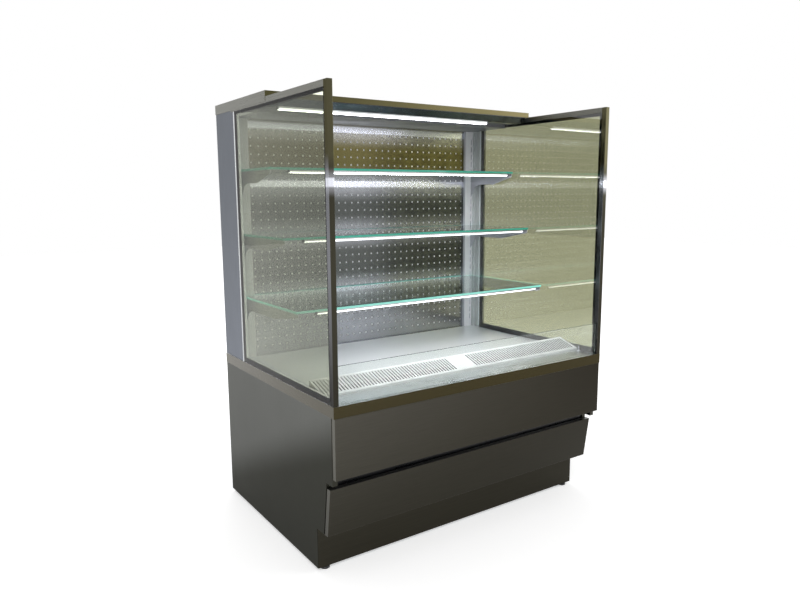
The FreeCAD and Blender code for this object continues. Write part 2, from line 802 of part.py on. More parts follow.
def build_air_system():
    """Fan plate with its motors, the two fans, and the cooling coil behind them."""
    plane = setback("fan_plate_setback")
    inner_side = f"({TUB_SIDE} - tub_wall)"
    flange_half = f"({LEDGE_SIDE} - deck_gap)"
    sheet = block((f"-{inner_side}", inner_side), (plane, f"{plane} + skin"), (TUB_FLOOR, RIM))
    flange = block((f"-{flange_half}", flange_half), (f"{plane} - fan_plate_flange", f"{plane} + skin"),
                   (RIM, "counter_height"))
    rings = []
    carried = []
    for side, name in ((-1, "left"), (1, "right")):
        x = "cool_fan_side" if side > 0 else "-cool_fan_side"
        z = "cool_fan_height"
        mouth = "cool_fan_radius + fan_tip_gap"
        rings.append(rod((x, z), plane, f"{plane} + skin", mouth, "Y", RING_SIDES))
        carried += motor_parts(x, f"({plane} + hub_length / 2)", z)
        strut_y = f"({plane} + hub_length / 2 + motor_standoff)"
        strut_reach = "(cool_fan_radius + 3 * fan_tip_gap)"
        strut = block((f"{x} - {strut_reach}", f"{x} + {strut_reach}"), (strut_y, f"{strut_y} + skin"),
                      (f"{z} - 2 * fan_tip_gap", f"{z} + 2 * fan_tip_gap"))
        carried.append(strut)
        for way in (1, -1):
            end = f"({x} + {way} * (cool_fan_radius + 3 * fan_tip_gap - skin / 2))"
            carried.append(block((f"{end} - skin / 2", f"{end} + skin / 2"), (f"{plane} + skin", strut_y),
                                 (f"{z} - 2 * fan_tip_gap", f"{z} + 2 * fan_tip_gap")))
        centre = (number(x), number(plane), number(z))
        blades = fan_shape(centre, number("cool_fan_radius"), number("cool_fan_chord"), 5)
        feature(f"cool_fan_{name}", blades)
    done(fuse([cut(sheet, rings), flange] + carried), "fan_plate")

    low = f"({TUB_FLOOR} + coil_lift)"
    high = f"({low} + coil_height)"
    y = (setback("coil_front"), setback("coil_rear"))
    coil = body("cooling_coil")
    pad(coil, "XY_Plane", low, high, [rectangle(("-coil_half", y[0]), ("coil_half", y[1]))])
    for end in ("-coil_half - coil_plate", "coil_half"):
        pad(coil, "YZ_Plane", end, f"{end} + coil_plate", [rectangle((y[0], TUB_FLOOR), (y[1], high))])
    first = "(-coil_half + fin_pitch)"
    groove = pocket(coil, "XY_Plane", f"{high} - fin_groove_depth", high, [
        rectangle((f"{first} - fin_groove / 2", y[0]), (f"{first} + fin_groove / 2", y[1]))])
    row_of(coil, groove, "X", "fin_pitch", "floor(2 * coil_half / fin_pitch) - 1")


# ---------------------------------------------------------------- rear of the case


def build_rear():
    """Foamed rear wall and side columns round the air duct."""
    wall_x = (f"-{LEDGE_SIDE}", LEDGE_SIDE)
    done(block(wall_x, (WALL_FRONT, REAR), ("counter_height", SLAB_BOTTOM)), "rear_wall")
    for side, name in ((-1, "left"), (1, "right")):
        nose_front = f"({COLUMN_FRONT} - nose_depth)"
        x = mirrored(side, LEDGE_SIDE, BODY_SIDE)
        nose_x = mirrored(side, GLASS_SIDE, BODY_SIDE)
        main = block(x, (COLUMN_FRONT, REAR), ("counter_height", SLAB_BOTTOM))
        nose = block(nose_x, (nose_front, COLUMN_FRONT), ("counter_height", GLASS_TOP))
        done(fuse([main, nose]), f"column_{name}")


def build_baffle():
    """Perforated rear baffle: a grid of holes centred on the sheet, and a foot flange."""
    half = number(LEDGE_SIDE)
    low = number(RIM)
    high = number("ceiling_height")
    pitch = number("hole_pitch")
    radius = number("hole_radius")
    plane = number(BAFFLE)
    skin = number("skin")
    across = math.floor((2 * half - pitch) / pitch)
    upward = math.floor((high - number("counter_height") - pitch) / pitch)
    first_x = -pitch * across / 2
    first_z = (number("counter_height") + high - pitch * upward) / 2
    outline = Part.makePolygon([
        Vector(-half, plane, low), Vector(half, plane, low), Vector(half, plane, high),
        Vector(-half, plane, high), Vector(-half, plane, low)])
    wires = [outline]
    for column in range(across + 1):
        for level in range(upward + 1):
            middle = Vector(first_x + column * pitch, plane, first_z + level * pitch)
            corners = []
            for turn in range(7):
                angle = turn * math.pi / 3
                corners.append(middle + Vector(radius * math.cos(angle), 0, radius * math.sin(angle)))
            wires.append(Part.makePolygon(corners))
    sheet = Part.makeFace(wires, "Part::FaceMakerBullseye").extrude(Vector(0, skin, 0))
    foot_half = half - number("upright_width")
    foot = Part.makeBox(2 * foot_half, number("baffle_foot"), skin,
                        Vector(-foot_half, plane - number("baffle_foot"), low))
    feature("back_baffle", sheet.fuse(foot).removeSplitter())


def build_uprights():
    """Slotted shelf uprights: channels with one row of hook slots near the outer edge."""
    for side, name in ((-1, "left"), (1, "right")):
        upright = body(f"upright_{name}")
        near = f"({LEDGE_SIDE} - upright_width)"
        x_low, x_high = mirrored(side, near, LEDGE_SIDE)
        pad(upright, "XY_Plane", RIM, "ceiling_height", [[
            (x_low, UPRIGHT_FRONT), (x_high, UPRIGHT_FRONT), (x_high, BAFFLE), (f"{x_high} - foil", BAFFLE),
            (f"{x_high} - foil", f"{UPRIGHT_FRONT} + foil"), (f"{x_low} + foil", f"{UPRIGHT_FRONT} + foil"),
            (f"{x_low} + foil", BAFFLE), (x_low, BAFFLE)]])
        slot_x = hook_line(side)
        slot = pocket(upright, "XZ_Plane", UPRIGHT_FRONT, f"{UPRIGHT_FRONT} + foil", [
            rectangle((f"{slot_x} - slot_width / 2", "slot_start"),
                      (f"{slot_x} + slot_width / 2", "slot_start + slot_height"))])
        row_of(upright, slot, "Z", "slot_pitch", "floor((ceiling_height - slot_start) / slot_pitch)")


def hook_line(side):
    """X of the row of hook slots, and of the shelf brackets."""
    line = f"({LEDGE_SIDE} - slot_offset)"
    return line if side > 0 else f"(-{line})"


# ---------------------------------------------------------------- glazed sides


def build_sides():
    """Double-glazed side screens with front post, top rail, spacer and rear gasket."""
    glass_y = (setback("post_depth"), f"{COLUMN_FRONT} - nose_depth - gasket")
    glass_z = ("counter_height", GLASS_TOP)
    for side, name in ((-1, "left"), (1, "right")):
        inner = mirrored(side, GLASS_SIDE, f"{GLASS_SIDE} + pane")
        outer = mirrored(side, f"{BODY_SIDE} - pane", BODY_SIDE)
        done(group([block(inner, glass_y, glass_z), block(outer, glass_y, glass_z)]), f"side_glass_{name}")

        cavity = mirrored(side, f"{GLASS_SIDE} + pane", f"{BODY_SIDE} - pane")
        rim = block(cavity, glass_y, glass_z)
        gap = block(cavity, (f"{glass_y[0]} + spacer / 2", f"{glass_y[1]} - spacer"),
                    (f"{glass_z[0]} + spacer", f"{glass_z[1]} - spacer / 2"))
        strip_x = mirrored(side, GLASS_SIDE, BODY_SIDE)
        strip = block(strip_x, (glass_y[1], f"{glass_y[1]} + gasket"), glass_z)
        done(group([cut(rim, [gap]), strip]), f"glass_seal_{name}")

        frame_x = mirrored(side, GLASS_SIDE, SIDE)
        post = body(f"post_{name}")
        pad(post, "XY_Plane", "counter_height", "post_top", [
            rectangle((frame_x[0], FRONT), (frame_x[1], setback("post_depth")))])
        joint = f"({CANOPY_FRONT} - canopy_joint)"
        front_rail = block(frame_x, (setback("post_depth"), joint), (GLASS_TOP, "post_top"))
        rear_rail = block(strip_x, (joint, COLUMN_FRONT), (GLASS_TOP, "post_top"))
        done(fuse([front_rail, rear_rail]), f"rail_{name}")


# ---------------------------------------------------------------- canopy


def build_canopy():
    """Foamed canopy lid with skirts, its slanted fascia, ceiling, air comb and lamp."""
    slab = block((f"-{SIDE}", SIDE), (CANOPY_FRONT, "depth / 2"), (SLAB_BOTTOM, "height"))
    drop = ("height - canopy_skirt", SLAB_BOTTOM)
    skirts = [block(mirrored(side, BODY_SIDE, SIDE), (CANOPY_FRONT, "depth / 2"), drop) for side in (1, -1)]
    skirts.append(block((f"-{BODY_SIDE}", BODY_SIDE), (REAR, "depth / 2"), drop))
    done(fuse([slab] + skirts), "canopy_shell")

    inner = f"({GLASS_SIDE} - glass_gap)"
    front = f"({CANOPY_FRONT} + skin)"
    low = f"({SLAB_BOTTOM} - fascia_drop)"
    rear = f"({front} + fascia_depth)"
    fascia = body("canopy_fascia")
    pad(fascia, "YZ_Plane", f"-{inner}", inner, [
        [(front, SLAB_BOTTOM), (front, f"{SLAB_BOTTOM} - fascia_edge"), (f"{front} + fascia_slant", low),
         (rear, low), (rear, SLAB_BOTTOM)],
        [(f"{front} + 2 * foil", f"{SLAB_BOTTOM} - skin"),
         (f"{front} + fascia_slant + skin", f"{low} + skin"),
         (f"{rear} - skin", f"{low} + skin"), (f"{rear} - skin", f"{SLAB_BOTTOM} - skin")]])

    lamp_front = f"({front} + fascia_slant)"
    lamp = body("canopy_lamp")
    pad(lamp, "YZ_Plane", "-canopy_lamp_left", "canopy_lamp_right", [
        lamp_outline(lamp_front, low)])

    comb_rear = f"({rear} + comb_depth)"
    comb = body("air_comb")
    pad(comb, "XY_Plane", "ceiling_height", "ceiling_height + comb_height", [
        rectangle((f"-{inner}", rear), (inner, comb_rear))])
    first = f"(-{inner} + comb_pitch)"
    cell = pocket(comb, "XY_Plane", "ceiling_height", "ceiling_height + comb_height", [
        rectangle((f"{first} - comb_slot / 2", f"{rear} + comb_rim"),
                  (f"{first} + comb_slot / 2", f"{comb_rear} - comb_rim"))])
    row_of(comb, cell, "X", "comb_pitch", f"floor(2 * {inner} / comb_pitch) - 1")

    half = f"({LEDGE_SIDE} - glass_gap)"
    ceiling = body("canopy_ceiling")
    pad(ceiling, "YZ_Plane", f"-{half}", half, [[
        (comb_rear, "ceiling_height"), (f"{BAFFLE} + skin", "ceiling_height"),
        (f"{BAFFLE} + skin", "ceiling_height + skin"), (f"{comb_rear} + skin", "ceiling_height + skin"),
        (f"{comb_rear} + skin", "ceiling_height + comb_height"),
        (comb_rear, "ceiling_height + comb_height")]])


def lamp_outline(front, top):
    """Lamp profile seen along X, hung under the plane top: a bevelled strip light."""
    return [
        (front, top), (front, f"{top} - lamp_height / 2"),
        (f"{front} + lamp_height / 2", f"{top} - lamp_height"),
        (f"{front} + lamp_width", f"{top} - lamp_height"), (f"{front} + lamp_width", top)]


# ---------------------------------------------------------------- shelves


def build_shelf(level):
    """One glass shelf on two hooked steel brackets, with a strip light under its front."""
    top = f"{level}_shelf_height"
    under = f"({top} - shelf_thick)"
    front = f"({BAFFLE} - {level}_shelf_depth)"
    rear = f"({UPRIGHT_FRONT} - shelf_rear_gap)"
    glass = body(f"shelf_{level}_glass")
    pad(glass, "XY_Plane", under, top, [rectangle(("-shelf_half", front), ("shelf_half", rear))])
    for plane in (top, under):
        DOC.recompute()
        chamfer(glass, level_edges(glass.Tip.Shape, number(plane)), "glass_bevel")

    brackets = []
    for side in (1, -1):
        bracket = DOC.addObject("PartDesign::Body", f"bracket_{level}_{'right' if side > 0 else 'left'}")
        middle = hook_line(side)
        face = f"({UPRIGHT_FRONT} - running_gap)"
        reach = f"({face} - ({front}))"
        lip = f"({UPRIGHT_FRONT} + foil + running_gap)"
        upper = hook_level(top)
        hook = lip + " + hook_thick"
        outline = [
            (front, under), (front, f"{under} - bracket_tip"),
            (f"{front} + {reach} * bracket_knee", f"{under} - bracket_deep"),
            (f"{face} - bracket_root", f"{under} - bracket_deep"),
            (f"{face} - gusset_run", f"{under} - bracket_deep - gusset_shoulder"),
            (face, f"{under} - gusset_drop"),
            (face, f"{upper} - slot_pitch"), (lip, f"{upper} - slot_pitch"),
            (lip, f"{upper} - slot_pitch - hook_drop"), (hook, f"{upper} - slot_pitch - hook_drop"),
            (hook, f"{upper} - slot_pitch + neck"), (face, f"{upper} - slot_pitch + neck"),
            (face, upper), (lip, upper), (lip, f"{upper} - hook_drop"), (hook, f"{upper} - hook_drop"),
            (hook, f"{upper} + neck"), (face, f"{upper} + neck"), (face, under),
        ]
        half_thick = "bracket_thick / 2"
        pad(bracket, "YZ_Plane", f"{middle} - {half_thick}", f"{middle} + {half_thick}", [outline])
        brackets.append(bracket)
    done(group(brackets), f"shelf_{level}_brackets")

    lamp = body(f"shelf_{level}_lamp")
    pad(lamp, "YZ_Plane", "-shelf_half + lamp_left_inset", "shelf_half - lamp_right_inset", [
        lamp_outline(f"({front} + lamp_front_inset)", under)])


def hook_level(top):
    """Bottom of the hook slot that carries a shelf's upper hook, below the shelf's top."""
    steps = f"floor(({top} - shelf_thick - slot_start - slot_height) / slot_pitch)"
    return f"(slot_start + slot_pitch * {steps} + running_gap)"


# ---------------------------------------------------------------- machine compartment


def bent_path(points, bend):
    """The route's points, each corner turned into a few chords of one bend radius."""
    path = [points[0]]
    for before, corner, after in zip(points, points[1:], points[2:]):
        back = (before - corner).normalize()
        ahead = (after - corner).normalize()
        centre = corner + (back + ahead) * bend
        for step in range(BEND_CHORDS + 1):
            angle = math.pi / 2 * step / BEND_CHORDS
            path.append(centre - ahead * (bend * math.cos(angle)) - back * (bend * math.sin(angle)))
    return path + [points[-1]]


def pipe_shape(points, radius, bend):
    """A pipe along square-cornered runs: each ring lies in its corner's mitre plane."""
    path = bent_path(points, bend)
    heading = (path[1] - path[0]).normalize()
    helper = Vector(1, 0, 0) if abs(heading.x) < 0.5 else Vector(0, 1, 0)
    across = heading.cross(helper).normalize()
    ring = regular_ring(path[0], across, heading.cross(across), radius, PIPE_SIDES)
    rings = [ring]
    for place, following in zip(path[1:], path[2:] + [None]):
        onward = heading if following is None else (following - place).normalize()
        mitre = (heading + onward).normalize()
        ring = [corner + heading * ((place - corner).dot(mitre) / heading.dot(mitre)) for corner in ring]
        rings.append(ring)
        heading = onward
    return solid_through(rings)


def build_machine():
    """Condensing unit on its tray, the pipes to the coil, and the control box."""
    tray_half = "(frame_half - tube - tray_inset)"
    tray_y = (f"{FRAME_FRONT} + skin", f"{REAR} - skin")
    sheet = block((f"-{tray_half}", tray_half), tray_y, (FRAME_TOP, f"{FRAME_TOP} + foil"))
    lip_z = (f"{FRAME_TOP} + foil", f"{FRAME_TOP} + tray_lip")
    lips = [block(mirrored(side, f"{tray_half} - foil", tray_half), tray_y, lip_z) for side in (1, -1)]
    passage = rod(DRAIN_PLACE, f"{FRAME_TOP} - skin", f"{FRAME_TOP} + foil + skin", "hose_passage",
                  sides=RING_SIDES)
    done(cut(fuse([sheet] + lips), [passage]), "unit_tray")
    floor = f"({FRAME_TOP} + foil)"

    y = (setback("condenser_front"), setback("condenser_front + condenser_depth"))
    x = ("condenser_left", "condenser_left + condenser_width")
    top = f"({floor} + condenser_height)"
    coil = body("condenser_coil")
    pad(coil, "XY_Plane", floor, top, [rectangle((x[0], y[0]), (x[1], y[1]))])
    first = "(condenser_left + fin_pitch / 2)"
    groove = pocket(coil, "XZ_Plane", y[0], f"{y[0]} + fin_groove_depth", [
        rectangle((f"{first} - fin_groove / 2", f"{floor} + fin_groove"),
                  (f"{first} + fin_groove / 2", f"{top} - fin_groove"))])
    row_of(coil, groove, "X", "fin_pitch / 2", "floor(2 * condenser_width / fin_pitch) - 1")

    fan_x = "(condenser_left + condenser_width / 2)"
    fan_z = f"({floor} + condenser_height / 2)"
    rear = f"({y[1]} + shroud_depth)"
    inside = block((f"{x[0]} + skin", f"{x[1]} - skin"), (y[1], f"{rear} - skin"),
                   (f"{floor} + skin", f"{top} - skin"))
    mouth = rod((fan_x, fan_z), f"{rear} - skin", rear, "cond_fan_radius + fan_tip_gap", "Y", RING_SIDES)
    hood = cut(block(x, (y[1], rear), (floor, top)), [inside, mouth])
    strut_y = f"({rear} + hub_length / 2 + motor_standoff)"
    reach = "(cond_fan_radius + 3 * fan_tip_gap)"
    parts = [hood] + motor_parts(fan_x, f"({rear} + hub_length / 2)", fan_z)
    parts.append(block((f"{fan_x} - {reach}", f"{fan_x} + {reach}"), (strut_y, f"{strut_y} + foil"),
                       (f"{fan_z} - 2 * fan_tip_gap", f"{fan_z} + 2 * fan_tip_gap")))
    for way in (1, -1):
        end = f"({fan_x} + {way} * ({reach} - foil / 2))"
        parts.append(block((f"{end} - foil / 2", f"{end} + foil / 2"), (rear, strut_y),
                           (f"{fan_z} - 2 * fan_tip_gap", f"{fan_z} + 2 * fan_tip_gap")))
    done(fuse(parts), "condenser_shroud")
    centre = (number(fan_x), number(rear), number(fan_z))
    feature("condenser_fan", fan_shape(centre, number("cond_fan_radius"), number("cond_fan_chord"), 5))

    build_compressor(floor)
    build_pipes(floor, x[1], y[0])
    build_control_box(floor)


def build_compressor(floor):
    """Hermetic compressor: a domed shell with a seam rim, a relay case and a foot plate."""
    axis = Vector(number("compressor_side"), number(setback("compressor_setback")), 0)
    base = number(floor)
    radius = number("compressor_radius")
    foot = number("compressor_foot")
    dome = number("compressor_dome")
    low = base + foot
    top = base + number("compressor_height")
    across = Vector(1, 0, 0)
    deep = Vector(0, 1, 0)
    profile = []
    slice_angle = math.pi / 2 / DOME_STEPS
    for step in range(1, DOME_STEPS + 1):
        angle = slice_angle * step
        profile.append((radius * math.sin(angle), dome * (math.cos(slice_angle) - math.cos(angle))))
    levels = [(reach, low + rise) for reach, rise in profile]
    levels += [(reach, top - rise) for reach, rise in reversed(profile)]
    shell = solid_through([regular_ring(axis + Vector(0, 0, level), across, deep, reach, RING_SIDES)
                           for reach, level in levels])
    seam = Vector(0, 0, (low + top) / 2)
    rim_ring = regular_ring(axis + seam, across, deep, radius + number("compressor_rim"), RING_SIDES)
    rim = Part.Face(closed_wire(rim_ring)).extrude(Vector(0, 0, number("foil")))
    wide = number("compressor_plate_width")
    long = number("compressor_plate_depth")
    plate = Part.makeBox(wide, long, foot, axis + Vector(-wide / 2, -long / 2, base))
    relay = number("relay_size")
    case = Part.makeBox(relay, relay, relay, axis + seam - Vector(relay / 2, radius + relay / 2, relay / 2))
    feature("compressor", shell.fuse([plate, rim, case]).removeSplitter())


def build_pipes(floor, condenser_end, condenser_face):
    """Suction line from coil to compressor, and liquid line from condenser to coil."""
    radius = number("pipe_radius")
    bend = number("pipe_bend")
    coil_back = number(setback("coil_rear"))
    coil_low = number(f"{TUB_FLOOR} + coil_lift + coil_height / 2")

    suction_x = number("suction_side")
    suction_y = number(setback("suction_setback"))
    suction_z = number("suction_level")
    pump_x = number("compressor_side")
    pump_y = number(setback("compressor_setback"))
    pump_top = number(f"{floor} + compressor_height")
    suction = pipe_shape([
        Vector(suction_x, coil_back, coil_low), Vector(suction_x, suction_y, coil_low),
        Vector(suction_x, suction_y, suction_z), Vector(pump_x, suction_y, suction_z),
        Vector(pump_x, pump_y, suction_z), Vector(pump_x, pump_y, pump_top)], radius, bend)

    start_x = number(condenser_end)
    start_y = number(f"{condenser_face} + condenser_depth / 2")
    cross_x = number("liquid_cross")
    liquid_x = number("liquid_side")
    liquid_y = number(setback("liquid_setback"))
    liquid_z = number("liquid_level")
    liquid = pipe_shape([
        Vector(start_x, start_y, liquid_z), Vector(cross_x, start_y, liquid_z),
        Vector(cross_x, liquid_y, liquid_z), Vector(liquid_x, liquid_y, liquid_z),
        Vector(liquid_x, liquid_y, coil_low + 2 * bend), Vector(liquid_x, coil_back, coil_low + 2 * bend)],
        radius / 2, bend)
    feature("refrigerant_pipes", Part.makeCompound([suction, liquid]))


def build_control_box(floor):
    """Electrical box with a rocker switch in its front, turning on a pin."""
    x = ("box_left", "box_left + box_width")
    y = (setback("box_front"), setback("box_front + box_depth"))
    middle = "(box_left + rocker_side)"
    level = f"({floor} + rocker_level)"
    half = "(rocker_width / 2 + rocker_gap)"
    tall = "(rocker_height / 2 + rocker_gap + skin)"
    axis_y = f"({y[0]} + rocker_peak)"
    case = block(x, y, (floor, f"{floor} + box_height"))
    well = block((f"{middle} - {half}", f"{middle} + {half}"), (y[0], f"{y[0]} + rocker_well"),
                 (f"{level} - {tall}", f"{level} + {tall}"))
    pin_reach = f"({half} + rocker_gap + 2 * rocker_pin)"
    bore_x = (f"{middle} - {pin_reach}", f"{middle} + {pin_reach}")
    bore = rod((axis_y, level), bore_x[0], bore_x[1], hole_for("rocker_pin"), axis="X")
    done(cut(case, [well, bore]), "control_box")

    rocker = body("power_rocker")
    up = f"({level} + rocker_height / 2)"
    down = f"({level} - rocker_height / 2)"
    pad(rocker, "YZ_Plane", f"{middle} - rocker_width / 2", f"{middle} + rocker_width / 2", [[
        (f"{y[0]} + skin", up), (f"{y[0]} - skin / 2", level), (f"{y[0]} - rocker_peak / 2", down),
        (f"{axis_y} + rocker_pin", f"{down} + rocker_peak"), (f"{axis_y} + 2 * rocker_pin", level),
        (f"{axis_y} + rocker_pin", f"{up} - rocker_peak")]])
    pin_half = f"({pin_reach} - rocker_gap)"
    pad(rocker, "YZ_Plane", f"{middle} - {pin_half}", f"{middle} + {pin_half}", [
        ngon(axis_y, level, "rocker_pin", ROD_SIDES)])


# ---------------------------------------------------------------- build and export


def check_objects():
    """Stop on any object that failed to compute or a sub-part with a bad shape."""
    for item in DOC.Objects:
        if {"Invalid", "Error"} & set(item.State):
            raise RuntimeError(f"{item.Name} {item.Label}: {item.State}")
    bad = [piece.Label for piece in DONE
           if piece.Shape.isNull() or not piece.Shape.isValid() or not piece.Shape.Solids]
    if bad:
        raise RuntimeError(f"no valid solid in {bad}")


def main():
    """Build every sub-part, check it and write its file."""
    build_base_frame()
    build_feet()
    build_base_panels()
    build_counter_band()
    build_tub()
    build_deck()
    build_air_grille()
    build_riser_glass()
    build_air_system()
    build_rear()
    build_baffle()
    build_uprights()
    build_sides()
    build_canopy()
    for level in ("bottom", "middle", "top"):
        build_shelf(level)
    build_machine()
    DOC.recompute()
    check_objects()
    os.makedirs("parts", exist_ok=True)
    for piece in DONE:
        piece.Shape.exportStep(f"parts/{piece.Label}.step")
        print(f"{piece.Label}: {len(piece.Shape.Solids)} solids, {piece.Shape.Volume / 1000:.1f} cm3")
    print(f"{len(DONE)} sub-parts")


main()
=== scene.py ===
import logging
import math
from dataclasses import dataclass
from enum import Enum
from typing import Callable, Optional, Sequence, Union

import bmesh
import bpy
from mathutils import Matrix, Vector


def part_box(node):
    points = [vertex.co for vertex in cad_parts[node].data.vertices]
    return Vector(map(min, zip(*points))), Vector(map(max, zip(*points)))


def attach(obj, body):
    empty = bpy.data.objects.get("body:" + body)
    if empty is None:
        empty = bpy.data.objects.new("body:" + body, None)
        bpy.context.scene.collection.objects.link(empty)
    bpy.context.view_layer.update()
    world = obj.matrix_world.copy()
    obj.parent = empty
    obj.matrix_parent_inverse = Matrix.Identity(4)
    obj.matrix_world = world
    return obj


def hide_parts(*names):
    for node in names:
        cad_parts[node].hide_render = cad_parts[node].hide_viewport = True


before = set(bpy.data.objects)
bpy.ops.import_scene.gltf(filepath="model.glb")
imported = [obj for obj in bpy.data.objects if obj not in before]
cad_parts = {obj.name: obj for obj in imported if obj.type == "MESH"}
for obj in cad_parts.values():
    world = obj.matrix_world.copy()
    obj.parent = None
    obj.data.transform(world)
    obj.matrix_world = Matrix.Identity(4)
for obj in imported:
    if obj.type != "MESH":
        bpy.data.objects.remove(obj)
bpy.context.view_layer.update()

LOG = logging.getLogger("display_fridge")
MM = 0.001

Tree = bpy.types.NodeTree
Node = bpy.types.Node
Socket = bpy.types.NodeSocket
Mesh = bmesh.types.BMesh
Face = bmesh.types.BMFace
Vertex = bmesh.types.BMVert
Piece = bpy.types.Object
Rule = Callable[[Face], int]
Value = Union[float, Sequence[float], Socket]


# ---------------------------------------------------------------- materials


class Grain(Enum):
    """Which way a sheet was brushed, as the axis that its scratches run along."""

    ACROSS = (1, 0, 0)
    DEEP = (0, 1, 0)
    UPRIGHT = (0, 0, 1)


def linear(hex_colour: str) -> tuple[float, float, float, float]:
    """Turns an sRGB colour into the linear values that a shader takes.

    Args:
        hex_colour: six hex digits, with or without a leading #.

    Returns:
        Red, green, blue and an alpha of 1.
    """
    digits = hex_colour.lstrip("#")
    channels = [int(digits[start:start + 2], 16) / 255 for start in (0, 2, 4)]
    red, green, blue = (c / 12.92 if c <= 0.04045 else ((c + 0.055) / 1.055) ** 2.4 for c in channels)
    return (red, green, blue, 1.0)


def add(tree: Tree, kind: str, inputs: Optional[dict[Union[str, int], Value]] = None,
        **settings: object) -> Node:
    """Adds a node with its settings, values and links.

    Args:
        tree: the node tree that gets the node.
        kind: the node's type name, without ShaderNode.
        inputs: for each input socket, by name or index, a value or an output socket to link.
        settings: attributes of the node itself.

    Returns:
        The new node.
    """
    node = tree.nodes.new(f"ShaderNode{kind}")
    for name, value in settings.items():
        setattr(node, name, value)
    for key, value in (inputs or {}).items():
        if isinstance(value, Socket):
            tree.links.new(value, node.inputs[key])
        else:
            node.inputs[key].default_value = value
    return node


def limits(low: float, high: float, to_low: float = 0.0, to_high: float = 1.0) -> dict[str, float]:
    """Names the limits between which a value is taken and those that it is spread over.

    Args:
        low: value that becomes to_low.
        high: value that becomes to_high.
        to_low: what the lowest value becomes.
        to_high: what the highest value becomes.

    Returns:
        The four limits by the names of their sockets.
    """
    return {"From Min": low, "From Max": high, "To Min": to_low, "To Max": to_high}


@dataclass(frozen=True)
class Finish:
    """A surface: its colour, its gloss, the detail that its making leaves, and on some, painted light and
    shade.

    Args:
        name: the material's name, after what the real one is.
        colour: sRGB hex colour.
        roughness: how matt it is, from 0 to 1.
        metallic: 1 for bare metal.
    """

    name: str
    colour: str
    roughness: float = 0.5
    metallic: float = 0.0

    def material(self) -> bpy.types.Material:
        """Builds the material once and hands it out after that.

        Returns:
            The material with this finish's name.
        """
        known = bpy.data.materials.get(self.name)
        if known:
            return known
        material = bpy.data.materials.new(self.name)
        material.use_nodes = True
        tree = material.node_tree
        shader = tree.nodes["Principled BSDF"]
        shader.inputs["Base Color"].default_value = linear(self.colour)
        shader.inputs["Metallic"].default_value = self.metallic
        shader.inputs["Roughness"].default_value = self.roughness
        place = add(tree, "TexCoord").outputs["Object"]
        self.detail(tree, shader, place)
        return material

    def detail(self, tree: Tree, shader: Node, place: Socket) -> None:
        """Adds cloudy handling marks; each finish overrides this with its own detail.

        Args:
            tree: the material's node tree.
            shader: its shader node.
            place: object coordinates, in metres.
        """
        self.clouds(tree, shader, place, 120 * MM, 0.08)

    def tint(self, tree: Tree, shader: Node, colour: Value, share: Socket) -> None:
        """Colours the surface with a colour times a share.

        Args:
            tree: the material's node tree.
            shader: its shader node.
            colour: linear colour, or the socket that gives it.
            share: the socket that gives the share.
        """
        shade = add(tree, "Mix", {0: 1.0, 6: colour, 7: share}, data_type="RGBA", blend_type="MULTIPLY")
        tree.links.new(shade.outputs[2], shader.inputs["Base Color"])

    def clouds(self, tree: Tree, shader: Node, place: Socket,
               size: float, spread: float) -> None:
        """Varies the roughness in soft patches, as handling and wiping leave it.

        Args:
            tree: the material's node tree.
            shader: its shader node.
            place: object coordinates, in metres.
            size: width of a patch in metres.
            spread: how far the roughness strays either way.
        """
        noise = add(tree, "TexNoise", {"Vector": place, "Scale": 1 / size, "Detail": 4.0})
        gloss = add(tree, "MapRange", {
            "Value": noise.outputs["Fac"],
            **limits(0.3, 0.7, max(0.02, self.roughness - spread), self.roughness + spread)})
        tree.links.new(gloss.outputs["Result"], shader.inputs["Roughness"])


